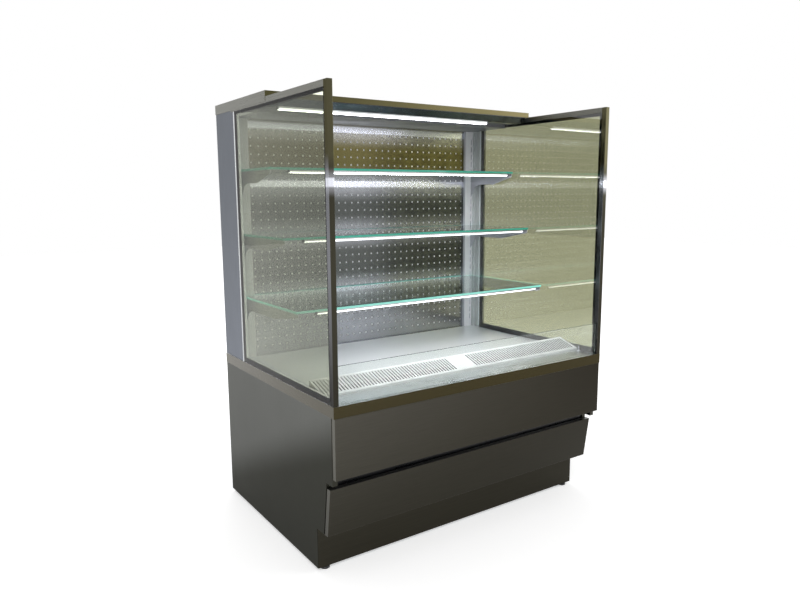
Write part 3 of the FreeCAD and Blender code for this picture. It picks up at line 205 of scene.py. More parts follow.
@dataclass(frozen=True)
class BrushedSteel(Finish):
    """Stainless sheet, grade 304, with a brushed grain.

    It gives the eye fine straight scratches, and painted reflection and shade: tones that turn warmer
    and darker on the faces that look forward and towards the floor, and a tone of their own on those
    that look up.

    Args:
        front: sRGB hex colour of the painted reflection on faces that look forward, at the case's left end.
        right: the same at its right end.
        low: sRGB hex colour of the painted shade near the floor.
        top: sRGB hex colour of the painted light on the faces that look up.
        grain: the way of the scratches.
        scratch_width: width of a scratch in metres; real ones of 0.1 mm would not show, so these
            are drawn a few times coarser.
        low_start: height in metres up to which the painted floor shade is full.
        low_height: height in metres above which the painted floor shade has gone.
        low_rise: how much higher the painted floor shade reaches for each metre towards the front.
        streak: how far a scratch strays from the tone either way.
        relief: strength of the scratches' bump.
        edge: sRGB hex tint of the metal where it is seen at a slant.
    """

    metallic: float = 1.0
    front: str = "4a4842"
    right: str = "2f2b20"
    low: str = "33332c"
    top: str = "8c8d8c"
    grain: Grain = Grain.ACROSS
    scratch_width: float = 1.6 * MM
    low_start: float = 0.0
    low_height: float = 0.55
    low_rise: float = 0.0
    streak: float = 0.2
    relief: float = 0.25
    edge: str = "ffffff"

    def tone(self, tree: Tree, place: Socket) -> Socket:
        """Mixes the painted tones: one for each way that the sheet can face, and painted shade near the
        floor.

        Args:
            tree: the material's node tree.
            place: object coordinates, in metres.

        Returns:
            The colour before the scratches.
        """
        parts = add(tree, "SeparateXYZ", {"Vector": place})
        normal = add(tree, "NewGeometry").outputs["Normal"]
        facing = add(tree, "SeparateXYZ", {"Vector": normal})
        forward = add(tree, "MapRange", {
            "Value": facing.outputs["Y"], **limits(-0.4, -0.9, 0.0, 1.0)})
        upward = add(tree, "MapRange", {
            "Value": facing.outputs["Z"], **limits(0.5, 0.95, 0.0, 1.0)})
        sideways = add(tree, "MapRange", {
            "Value": parts.outputs["X"], **limits(-0.6, 0.6, 0.0, 1.0)})
        faced = add(tree, "Mix", {
            0: sideways.outputs["Result"], 6: linear(self.front), 7: linear(self.right)}, data_type="RGBA")
        level = add(tree, "Mix", {
            0: forward.outputs["Result"], 6: linear(self.colour), 7: faced.outputs[2]}, data_type="RGBA")
        topped = add(tree, "Mix", {
            0: upward.outputs["Result"], 6: level.outputs[2], 7: linear(self.top)}, data_type="RGBA")
        reach = add(tree, "Math", {
            0: parts.outputs["Y"], 1: self.low_rise, 2: parts.outputs["Z"]}, operation="MULTIPLY_ADD")
        sink = add(tree, "MapRange", {
            "Value": reach.outputs[0], **limits(self.low_start, self.low_height, 0.85, 0.0)},
            interpolation_type="SMOOTHSTEP")
        lowered = add(tree, "Mix", {
            0: sink.outputs["Result"], 6: topped.outputs[2], 7: linear(self.low)}, data_type="RGBA")
        return lowered.outputs[2]

    def detail(self, tree: Tree, shader: Node, place: Socket) -> None:
        """Draws the scratches over the tones. Args as in Finish.detail."""
        shader.inputs["Specular Tint"].default_value = linear(self.edge)
        along = 1 / (110 * MM)
        across = 1 / self.scratch_width
        scale = [along if part else across for part in self.grain.value]
        mapping = add(tree, "Mapping", {"Vector": place, "Scale": scale})
        scratches = add(tree, "TexNoise", {
            "Vector": mapping.outputs["Vector"], "Scale": 1.0, "Detail": 5.0, "Roughness": 0.65})
        handling = add(tree, "TexNoise", {"Vector": place, "Scale": 1 / (260 * MM), "Detail": 3.0})
        streak = add(tree, "MapRange", {
            "Value": scratches.outputs["Fac"], **limits(0.25, 0.75, 1 - self.streak, 1 + self.streak)})
        self.tint(tree, shader, self.tone(tree, place), streak.outputs["Result"])
        mixed = add(tree, "Math", {
            0: scratches.outputs["Fac"], 1: handling.outputs["Fac"]}, operation="ADD")
        gloss = add(tree, "MapRange", {
            "Value": mixed.outputs[0],
            **limits(0.7, 1.3, self.roughness * (1 - self.streak), self.roughness * (1 + self.streak))})
        tree.links.new(gloss.outputs["Result"], shader.inputs["Roughness"])
        bump = add(tree, "Bump", {
            "Height": scratches.outputs["Fac"], "Strength": self.relief, "Distance": 0.05 * MM})
        tree.links.new(bump.outputs["Normal"], shader.inputs["Normal"])


@dataclass(frozen=True)
class LampGlarePaintedSteel(BrushedSteel):
    """Bright-annealed sheet beside the strip lamps.

    It gives the eye a painted reflection of each lamp: a thin pale line at or a little under it, with
    painted light that dies away above and below it, over the painted, duller image of the room.

    Args:
        lamps: height in metres of each lamp's painted line.
        glare: sRGB hex colour of a painted line.
        core: half the height in metres of a line.
        halo: distance in metres over which the painted light round a line dies away.
        halo_share: share of the glare that this painted light starts with.
        high: sRGB hex colour of the painted reflection near the sheet's top.
        high_start: height in metres from which that colour shows.
    """

    lamps: tuple[float, ...] = (0.82, 1.06, 1.26, 1.48)
    glare: str = "e8eaf4"
    core: float = 9 * MM
    halo: float = 80 * MM
    halo_share: float = 0.3
    high: str = "66603e"
    high_start: float = 1.28

    def tone(self, tree: Tree, place: Socket) -> Socket:
        """Lays the painted lamp lines over the sheet's painted tones. Args and Returns as in
        BrushedSteel.tone.
        """
        parts = add(tree, "SeparateXYZ", {"Vector": place})
        raised = add(tree, "MapRange", {
            "Value": parts.outputs["Z"], **limits(self.high_start, self.high_start + 50 * MM)})
        own = super().tone(tree, place)
        sheet = add(tree, "Mix", {
            0: raised.outputs["Result"], 6: own, 7: linear(self.high)}, data_type="RGBA")
        nearest: Value = 1.0
        for lamp in self.lamps:
            offset = add(tree, "Math", {0: parts.outputs["Z"], 1: lamp}, operation="SUBTRACT")
            gap = add(tree, "Math", {0: offset.outputs[0]}, operation="ABSOLUTE")
            nearest = add(tree, "Math", {0: gap.outputs[0], 1: nearest}, operation="MINIMUM").outputs[0]
        line = add(tree, "MapRange", {
            "Value": nearest, **limits(self.core, 2 * self.core, 1.0, 0.0)},
            interpolation_type="SMOOTHSTEP")
        around = add(tree, "MapRange", {
            "Value": nearest, **limits(self.core, self.halo, self.halo_share, 0.0)},
            interpolation_type="SMOOTHSTEP")
        share = add(tree, "Math", {
            0: line.outputs["Result"], 1: around.outputs["Result"]}, operation="MAXIMUM")
        lit = add(tree, "Mix", {
            0: share.outputs[0], 6: sheet.outputs[2], 7: linear(self.glare)}, data_type="RGBA")
        return lit.outputs[2]


@dataclass(frozen=True)
class GalvanisedSteel(Finish):
    """Zinc-dipped sheet: crystals a few millimetres wide, each with its own grey."""

    metallic: float = 0.85
    crystal: float = 9 * MM

    def detail(self, tree: Tree, shader: Node, place: Socket) -> None:
        """Draws the zinc crystals. Args as in Finish.detail."""
        cells = add(tree, "TexVoronoi", {"Vector": place, "Scale": 1 / self.crystal, "Randomness": 1.0})
        grey = add(tree, "RGBToBW", {"Color": cells.outputs["Color"]})
        shade = add(tree, "MapRange", {"Value": grey.outputs["Val"], "To Min": 0.78, "To Max": 1.18})
        self.tint(tree, shader, linear(self.colour), shade.outputs["Result"])
        gloss = add(tree, "MapRange", {
            "Value": grey.outputs["Val"], "To Min": self.roughness - 0.1, "To Max": self.roughness + 0.1})
        tree.links.new(gloss.outputs["Result"], shader.inputs["Roughness"])


@dataclass(frozen=True)
class Coated(Finish):
    """Powder-coated or stove-enamelled sheet: a slight orange peel under a soft gloss.

    Args:
        peel: width in metres of a ripple in the coat.
        depth: height in metres of the ripple.
    """

    peel: float = 2.2 * MM
    depth: float = 0.05 * MM

    def detail(self, tree: Tree, shader: Node, place: Socket) -> None:
        """Draws the orange peel and a little dust. Args as in Finish.detail."""
        self.clouds(tree, shader, place, 90 * MM, 0.07)
        ripple = add(tree, "TexNoise", {"Vector": place, "Scale": 1 / self.peel, "Detail": 2.0})
        bump = add(tree, "Bump", {
            "Height": ripple.outputs["Fac"], "Strength": 0.35, "Distance": self.depth})
        tree.links.new(bump.outputs["Normal"], shader.inputs["Normal"])
        dust = add(tree, "TexNoise", {"Vector": place, "Scale": 1 / (45 * MM), "Detail": 6.0})
        soil = add(tree, "MapRange", {
            "Value": dust.outputs["Fac"], **limits(0.35, 0.75, 1.03, 0.93)})
        self.tint(tree, shader, linear(self.colour), soil.outputs["Result"])


@dataclass(frozen=True)
class Glass(Finish):
    """Float glass: clear through its faces, with a wiped haze that only the gloss shows.

    Args:
        clearness: share of the light that goes through rather than being scattered.
        ior: refractive index; lower than glass's own 1.52 where a coating cuts the reflections.
        edge_glow: painted light that the edges give off, which stands in for lamp light caught inside the
            pane.
    """

    roughness: float = 0.015
    clearness: float = 1.0
    ior: float = 1.52
    edge_glow: float = 0.0

    def detail(self, tree: Tree, shader: Node, place: Socket) -> None:
        """Sets the transmission and the edges' painted glow, and draws wiping marks. Args as in
        Finish.detail.
        """
        shader.inputs["Transmission Weight"].default_value = self.clearness
        shader.inputs["IOR"].default_value = self.ior
        shader.inputs["Emission Color"].default_value = linear(self.colour)
        shader.inputs["Emission Strength"].default_value = self.edge_glow
        wipe = add(tree, "TexNoise", {"Vector": place, "Scale": 1 / (180 * MM), "Detail": 5.0,
                                                "Distortion": 1.5})
        gloss = add(tree, "MapRange", {
            "Value": wipe.outputs["Fac"], **limits(0.5, 0.8, self.roughness, self.roughness + 0.03)})
        tree.links.new(gloss.outputs["Result"], shader.inputs["Roughness"])


@dataclass(frozen=True)
class Glowing(Finish):
    """Opal lamp diffuser over a row of diodes, brightest along the middle of each diode.

    Args:
        strength: brightness, where 1 is white.
        pitch: distance in metres from one diode to the next.
    """

    strength: float = 4.0
    pitch: float = 16 * MM

    def detail(self, tree: Tree, shader: Node, place: Socket) -> None:
        """Lights the diffuser with a faint ripple along the row. Args as in Finish.detail."""
        wave = add(tree, "TexWave", {"Vector": place, "Scale": 1 / (self.pitch * 20 / math.tau)},
                   wave_type="BANDS", bands_direction="X", wave_profile="SIN")
        glow = add(tree, "Mix", {
            0: wave.outputs["Fac"], 6: linear(self.colour), 7: (1.0, 1.0, 1.0, 1.0)}, data_type="RGBA")
        tree.links.new(glow.outputs[2], shader.inputs["Emission Color"])
        shader.inputs["Emission Strength"].default_value = self.strength
        self.clouds(tree, shader, place, 40 * MM, 0.05)


@dataclass(frozen=True)
class PaintedGlowLiner(Coated):
    """White duct liner that shows through the holes, with a painted glow that stands in for what the
    lamps send between the sheets.

    Args:
        glow: brightness of that painted light, where 1 is white.
    """

    glow: float = 0.55

    def detail(self, tree: Tree, shader: Node, place: Socket) -> None:
        """Adds the painted glow, in soft patches, to the coat. Args as in Finish.detail."""
        super().detail(tree, shader, place)
        patches = add(tree, "TexNoise", {"Vector": place, "Scale": 1 / (110 * MM), "Detail": 2.0})
        level = add(tree, "MapRange", {
            "Value": patches.outputs["Fac"], **limits(0.3, 0.7, self.glow * 0.7, self.glow * 1.3)})
        shader.inputs["Emission Color"].default_value = linear(self.colour)
        tree.links.new(level.outputs["Result"], shader.inputs["Emission Strength"])


@dataclass(frozen=True)
class PaneSeal(Finish):
    """Edge of a double pane: black sealant with a pale aluminium bar that shows at the rear."""

    bar: str = "eef2f3"
    bar_start: float = 0.20
    bar_top: float = 0.612

    def detail(self, tree: Tree, shader: Node, place: Socket) -> None:
        """Colours the bar by how far back or low it lies. Args as in Finish.detail."""
        parts = add(tree, "SeparateXYZ", {"Vector": place})
        after = add(tree, "Math", {0: parts.outputs["Y"], 1: self.bar_start}, operation="GREATER_THAN")
        under = add(tree, "Math", {0: parts.outputs["Z"], 1: self.bar_top}, operation="LESS_THAN")
        inside = add(tree, "Math", {0: after.outputs[0], 1: under.outputs[0]}, operation="MAXIMUM")
        grain = add(tree, "TexNoise", {"Vector": place, "Scale": 1 / (3 * MM), "Detail": 4.0})
        share = add(tree, "MapRange", {
            "Value": grain.outputs["Fac"], **limits(0.3, 0.7, 0.9, 1.1)})
        tone = add(tree, "Mix", {
            0: inside.outputs[0], 6: linear(self.colour), 7: linear(self.bar)}, data_type="RGBA")
        self.tint(tree, shader, tone.outputs[2], share.outputs["Result"])


# Brushed 304 sheet: upright scratches under a grey sheen, with painted reflection and shade that sink
# to dark along a slanting line near the floor.
SIDE_STEEL = BrushedSteel("steel_brushed_side", "666764", 0.36, front="43413b", low="32322c", right="43413b",
                          grain=Grain.UPRIGHT, low_start=0.22, low_height=0.40, low_rise=0.434, streak=0.14,
                          edge="bebebe")
# The same sheet on the far side, with its painted shade more even: darker near the floor, no slanting line.
FAR_SIDE_STEEL = BrushedSteel("steel_brushed_far_side", "5c5d5a", 0.36, front="43413b", low="3a3a34",
                              right="43413b", grain=Grain.UPRIGHT, low_height=0.6, streak=0.14, edge="bebebe")
# Brushed 304 sheet with a cool, bluish cast and a clear upright grain; painted shade darkens its
# forward faces and its foot.
COLUMN_STEEL = BrushedSteel("steel_brushed_column", "7b7f86", 0.32, front="5c5e60", low="6c707a",
                            right="5c5e60", grain=Grain.UPRIGHT, low_height=1.2, edge="c4c4c4")
# Brushed 304 sheet of the front panels, in painted reflection and shade: dark and warm, darker to
# the right and near the floor.
FRONT_STEEL = BrushedSteel("steel_brushed_front", "57564f", 0.34, front="47453f", low="2c2a22",
                           right="1d190f", low_height=0.6, streak=0.14)
# Smoother folded edge: an olive-brown painted reflection on its face, under a painted highlight on the
# ledge.
BAND_STEEL = BrushedSteel("steel_brushed_band", "4c493f", 0.28, front="3b3626", low="3b3626",
                          right="2f2914", top="d3d5d7", low_height=0.1, streak=0.07, relief=0.08)
# Brushed 304 sheet with its grain from front to back: a painted brown reflection on its face and a
# painted grey top.
CANOPY_STEEL = BrushedSteel("steel_brushed_canopy", "76766f", 0.30, front="4b4830", low="4b4830",
                            right="645d41", top="8a8a84", grain=Grain.DEEP, low_height=0.1)
# Polished tube in painted reflection: nearly black low down, olive near the top, with one painted
# bright glint by the top shelf's lamp.
POST_STEEL = LampGlarePaintedSteel("steel_polished_post", "7b7c80", 0.20, front="3c3a30", low="2a2822", right="3c3a30",
                          grain=Grain.UPRIGHT, low_start=0.59, low_height=1.1, streak=0.12, edge="b8b8b8",
                          lamps=(1.25,), halo=45 * MM, high="504d3a")
# Polished sheet: a smooth dark blue-grey strip, with a painted highlight along its top.
FASCIA_STEEL = BrushedSteel("steel_polished_fascia", "62666d", 0.22, front="3a3d42", low="44484f",
                            right="4d5058", top="b9babc", low_height=0.1)
# Bright-annealed sheet, not brushed: a smooth, blurred mirror with painted reflections: pale lamp
# lines, a paler foot and an olive top.
BAFFLE_STEEL = LampGlarePaintedSteel("steel_mirror_baffle", "66665c", 0.24, front="565957", low="b0b2b8",
                            right="565957", scratch_width=2.5 * MM, low_start=0.60, low_height=0.92,
                            streak=0.03, relief=0.0)
# Bright deck sheet with a faint sheen, its top painted almost white as the light under the lamps.
DECK_STEEL = BrushedSteel("steel_bright_deck", "dfe1e4", 0.18, metallic=0.2, relief=0.08, front="d6d8db",
                          low="c9cbce", right="d6d8db", top="f6f7f9", low_height=0.1, streak=0.05)
# Bright rolled strip: pale lavender white, hardly metallic to the eye, its forward faces painted
# lighter as lit.
UPRIGHT_STEEL = BrushedSteel("steel_bright_upright", "d6d7df", 0.3, metallic=0.0, front="fbfbff",
                             low="c4c5cb", right="fbfbff", top="dcdde6", grain=Grain.UPRIGHT,
                             low_height=0.1, streak=0.1)
# Satin steel: an even pale grey with a soft highlight, its forward and upward faces painted a little
# lighter as lit.
BRACKET_STEEL = BrushedSteel("steel_satin_bracket", "bcbdc4", 0.33, metallic=0.6, front="c3c4cc",
                             low="9b9ca0", right="c3c4cc", top="c3c4cc", grain=Grain.DEEP, low_height=0.1)
# Hot-dipped zinc: a patchwork of grey crystals, some glossier than others.
ZINC = GalvanisedSteel("steel_galvanised", "8e9396", 0.42)
# Stove enamel: clean white with a slight orange peel.
WHITE_ENAMEL = Coated("enamel_white", "e9ebeb", 0.32)
# The same enamel in pale grey, a little more matt.
WALL_ENAMEL = Coated("enamel_pale_grey", "c3c7c8", 0.38)
# Powder coat: mid grey and matt, with a coarser peel.
GREY_POWDER = Coated("powder_coat_grey", "6f7477", 0.5, depth=0.12 * MM)
# Black stove enamel: deep and fairly glossy.
BLACK_ENAMEL = Coated("enamel_black", "16171a", 0.3)
# Enamel inside the canopy, painted mid grey as the shade where the lamps don't reach.
SHADED_ENAMEL = Coated("enamel_shaded_grey", "8b8d90", 0.36)
# Underside and slot walls of the grille: painted near black as shade, which keeps the slots crisp.
SLOT_SHADE = Coated("enamel_slot_painted_shade", "2c2d2f", 0.5)
# Polystyrene liner under the deck, painted dull grey as the shade there.
WHITE_LINER = Coated("liner_white_polystyrene", "7b7d7b", 0.42)
# White liner behind the baffle, with a painted glow: bright dots through the holes.
DUCT_LINER = PaintedGlowLiner("liner_white_duct", "dfe1e3", 0.5)
# Float glass: a faint green-grey tint with few reflections.
SIDE_GLASS = Glass("glass_side_pane", "d8dacf", ior=1.2)
# The far pane's float glass: a painted reflection as a warm olive tint, and a high index that
# mirrors the lit inside.
FAR_SIDE_GLASS = Glass("glass_side_pane_far", "cacbb7", ior=1.9)
# Toughened glass: almost no tint.
RISER_GLASS = Glass("glass_riser", "f1f5f2", ior=1.4)
# Shelf glass: a hint of green.
SHELF_GLASS = Glass("glass_shelf", "e9f4f0")
# Ground glass edge: a strong green, with a painted glow that stands in for lamp light caught in the pane.
SHELF_EDGE = Glass("glass_shelf_edge", "3aa590", 0.08, clearness=0.5, edge_glow=0.35)
# The lowest shelf's edge, painted as catching more light: pale green, with a brighter painted glow.
LIT_EDGE = Glass("glass_shelf_edge_lit", "86d2c4", 0.08, clearness=0.5, edge_glow=0.7)
# Ground glass edge: a thin grey-green line with a faint painted glow.
RISER_EDGE = Glass("glass_riser_edge", "5a6660", 0.1, clearness=0.2, edge_glow=0.08)
# Opal acrylic over the diodes: a bright, cool white line.
DIFFUSER = Glowing("diffuser_opal_shelf", "f2f5ff", 0.4, strength=26.0)
# The same on the canopy, less bright.
CANOPY_DIFFUSER = Glowing("diffuser_opal_canopy", "f4f6ff", 0.4, strength=14.0)
# The diffuser's lip: white but weak, so that the line stays thin.
DIFFUSER_RIM = Glowing("diffuser_opal_rim", "f4f6ff", 0.4, strength=2.4)
# Anodised aluminium: pale satin grey.
LAMP_HOUSING = Finish("aluminium_anodised", "b5b7b8", 0.35, 1.0)
# Moulded ABS: dull dark blue-grey.
CAP_PLASTIC = Finish("abs_grey_cap", "3f464d", 0.5)
# Polysulphide sealant: matt black, with a pale spacer bar at the rear.
SEAL = PaneSeal("polysulphide_seal", "0c0c0c", 0.6)
# Moulded polyamide: black with a soft shine.
BLACK_PLASTIC = Finish("polyamide_black", "1b1c1d", 0.45)
# Rolled aluminium: bright grey.
FIN_ALUMINIUM = Finish("aluminium_fin", "b9bdc0", 0.36, 1.0)
# Drawn copper: warm and fairly bright.
COPPER = Finish("copper_drawn", "b87455", 0.3, 1.0)
# Moulded ABS: dark green and glossy.
ROCKER_GREEN = Finish("abs_green_rocker", "1d6b35", 0.3)
# Zinc-plated steel: small bright heads.
SCREW_STEEL = Finish("steel_zinc_screw", "a6a8a6", 0.3, 1.0)


# ---------------------------------------------------------------- shaping helpers


def copy_of(node: str) -> Mesh:
    """Reads a node's solid into a new mesh with its doubles merged and flat faces joined.

    Args:
        node: the node's name.

    Returns:
        The merged copy, in the row frame.
    """
    shape = bmesh.new()
    shape.from_mesh(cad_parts[node].data)
    bmesh.ops.remove_doubles(shape, verts=shape.verts[:], dist=0.01 * MM)
    bmesh.ops.dissolve_limit(shape, angle_limit=math.radians(0.5), verts=shape.verts[:], edges=shape.edges[:],
                             use_dissolve_boundaries=False, delimit={"NORMAL"})
    return shape


def round_edges(shape: Mesh, radius: float, segments: int = 2, angle: float = 40.0,
                outer_only: bool = False) -> None:
    """Rounds every edge sharper than an angle, as folding and deburring leave it.

    Args:
        shape: the mesh to change.
        radius: size of the rounding in metres.
        segments: steps of the rounding.
        angle: least turn in degrees between an edge's two faces.
        outer_only: leaves inner corners sharp, so that a piece that moves in a well keeps its room.
    """
    least = math.radians(angle)
    shape.normal_update()
    sharp = [edge for edge in shape.edges if len(edge.link_faces) == 2 and edge.calc_face_angle(0.0) > least
             and (edge.is_convex or not outer_only)]
    bmesh.ops.bevel(shape, geom=sharp, offset=radius, segments=segments, affect="EDGES", profile=0.5,
                    material=-1, clamp_overlap=True)


def block(shape: Mesh, low: Sequence[float], high: Sequence[float]) -> list[Vertex]:
    """Adds a box between two corners.

    Args:
        shape: the mesh that gets the box.
        low: its lowest corner.
        high: its highest corner.

    Returns:
        The box's vertices.
    """
    middle = [(a + b) / 2 for a, b in zip(low, high)]
    size = [b - a for a, b in zip(low, high)]
    place = Matrix.Translation(middle) @ Matrix.Diagonal((*size, 1.0))
    return bmesh.ops.create_cube(shape, size=1.0, matrix=place)["verts"]


def joined(start: Sequence[Vertex]) -> set[Vertex]:
    """Finds every vertex that edges join to some first ones.

    Args:
        start: the first vertices.

    Returns:
        These and all that hang together with them.
    """
    linked = set(start)
    queue = list(linked)
    while queue:
        vertex = queue.pop()
        for edge in vertex.link_edges:
            other = edge.other_vert(vertex)
            if other not in linked:
                linked.add(other)
                queue.append(other)
    return linked


def turned(shape: Mesh, profile: Sequence[tuple[float, float]], place: Matrix,
           steps: int = 32) -> None:
    """Turns a profile about the Z axis of a place, closing its ends on the axis.

    Args:
        shape: the mesh that gets the turned form.
        profile: radius and height of each point, from one end to the other.
        place: where the form's own axes lie.
        steps: parts of the full turn.
    """
    points = [shape.verts.new((radius, 0.0, height)) for radius, height in profile]
    edges = [shape.edges.new(pair) for pair in zip(points, points[1:])]
    bmesh.ops.spin(shape, geom=points + edges, cent=(0, 0, 0), axis=(0, 0, 1), angle=math.tau,
                   steps=steps, use_merge=True, use_duplicate=False)
    linked = joined(points)
    bmesh.ops.remove_doubles(shape, verts=list(linked), dist=0.001 * MM)
    alive = [vertex for vertex in linked if vertex.is_valid]
    faces = {face for vertex in alive for face in vertex.link_faces}
    bmesh.ops.recalc_face_normals(shape, faces=list(faces))
    bmesh.ops.transform(shape, matrix=place, verts=alive)


def aimed(centre: Sequence[float], axis: Sequence[float]) -> Matrix:
    """Gives the place whose Z axis points a given way.

    Args:
        centre: where its origin lies.
        axis: where its Z axis points.

    Returns:
        The matrix of that place.
    """
    turn = Vector((0, 0, 1)).rotation_difference(Vector(axis)).to_matrix().to_4x4()
    return Matrix.Translation(centre) @ turn


def pierced_sheet(shape: Mesh, low: Sequence[float], high: Sequence[float], pitch: float,
                  hole: float, corner: float) -> None:
    """Adds a flat sheet in X and Z with a full grid of holes centred on it.

    Args:
        shape: the mesh that gets the sheet.
        low: X, Y and Z of its low corner.
        high: X, Y and Z of its high corner, Y being the sheet's rear face.
        pitch: distance from hole to hole.
        hole: width of a hole across its flats.
        corner: how much each corner of a hole is cut off; 0 leaves it square.
    """
    wide = high[0] - low[0]
    tall = high[2] - low[2]
    across = math.floor((wide - pitch / 2) / pitch)
    upward = math.floor((tall - pitch / 2) / pitch)
    middle = Vector(((low[0] + high[0]) / 2, low[1], (low[2] + high[2]) / 2))
    place = Matrix.Translation(middle) @ Matrix.Rotation(math.pi / 2, 4, "X")
    place = place @ Matrix.Diagonal((across * pitch / 2, upward * pitch / 2, 1.0, 1.0))
    bmesh.ops.create_grid(shape, x_segments=across, y_segments=upward, size=1.0, matrix=place)
    cells = shape.faces[:]
    bmesh.ops.inset_individual(shape, faces=cells, thickness=(pitch - hole) / 2, depth=0.0,
                               use_even_offset=True)
    if corner:
        corners = list({vertex for face in cells for vertex in face.verts})
        bmesh.ops.bevel(shape, geom=corners, offset=corner, segments=1, affect="VERTICES", profile=0.5,
                        material=-1)
        area = hole * hole * 1.05
        cells = [face for face in shape.faces if face.calc_area() < area and len(face.verts) >= 8]
    bmesh.ops.delete(shape, geom=cells, context="FACES")
    for vertex in shape.verts:
        if abs(abs(vertex.co.x - middle.x) - across * pitch / 2) < 0.1 * MM:
            vertex.co.x = high[0] if vertex.co.x > middle.x else low[0]
        if abs(abs(vertex.co.z - middle.z) - upward * pitch / 2) < 0.1 * MM:
            vertex.co.z = high[2] if vertex.co.z > middle.z else low[2]
    bmesh.ops.solidify(shape, geom=shape.faces[:], thickness=-(high[1] - low[1]))
    bmesh.ops.recalc_face_normals(shape, faces=shape.faces[:])


def finish_piece(name: str, shape: Mesh, finishes: Sequence[Finish], body: str,
                 nodes: Sequence[str] = (), rule: Optional[Rule] = None,
                 smooth: Optional[float] = None) -> Piece:
    """Turns a mesh into a named piece that rides on a body.

    Args:
        name: the piece's name.
        shape: its mesh, in the row frame; it is freed here.
        finishes: the finishes it shows.
        body: the body that it rides on.
        nodes: the nodes that it stands for.
        rule: for a face, which of the finishes it has; all have the first without it.
        smooth: greatest angle in degrees that is shaded smooth, or None for flat shading.

    Returns:
        The new object.
    """
    shape.normal_update()
    if rule:
        for face in shape.faces:
            face.material_index = rule(face)
    mesh = bpy.data.meshes.new(name)
    shape.to_mesh(mesh)
    shape.free()
    for finish in finishes:
        mesh.materials.append(finish.material())
    if smooth is not None:
        mesh.shade_smooth()
        mesh.set_sharp_from_angle(angle=math.radians(smooth))
    piece = bpy.data.objects.new(name, mesh)
    bpy.context.scene.collection.objects.link(piece)
    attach(piece, body)
    if nodes:
        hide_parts(*nodes)
    LOG.info("%s: %d faces on %s", name, len(mesh.polygons), body)
    return piece


def folded(node: str, finishes: Sequence[Finish], body: str, radius: float = 0.8 * MM,
           rule: Optional[Rule] = None, outer_only: bool = False) -> Piece:
    """Stands a copy with rounded folds in for a node.

    Args:
        node: the node's name.
        finishes: the finishes the copy shows.
        body: the body that it rides on.
        radius: size of the rounding in metres.
        rule: which finish each face has.
        outer_only: leaves inner corners sharp, as in round_edges.

    Returns:
        The new object.
    """
    shape = copy_of(node)
    round_edges(shape, radius, outer_only=outer_only)
    return finish_piece(f"{node}_folded", shape, finishes, body, [node], rule)


def dress(node: str, finish: Finish) -> None:
    """Gives a node that stays as it is its finish.

    Args:
        node: the node's name.
        finish: the finish that it shows.
    """
    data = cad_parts[node].data
    data.materials.clear()
    data.materials.append(finish.material())
    LOG.info("%s: dressed as %s", node, finish.name)


def screw(shape: Mesh, centre: Sequence[float], axis: Sequence[float], radius: float = 4.0 * MM) -> None:
    """Adds a domed screw head with a hexagonal recess.

    Args:
        shape: the mesh that gets the head.
        centre: middle of the head's seat.
        axis: the way the head stands out.
        radius: the head's radius in metres.
    """
    tall = radius * 0.55
    recess = radius * 0.5
    turned(shape, [(0, -tall / 2), (radius, -tall / 2), (radius, 0), (radius * 0.94, tall * 0.55),
                   (radius * 0.72, tall), (recess, tall), (recess * 0.96, tall * 0.35), (0, tall * 0.35)],
           aimed(centre, axis), steps=12)


# ---------------------------------------------------------------- base


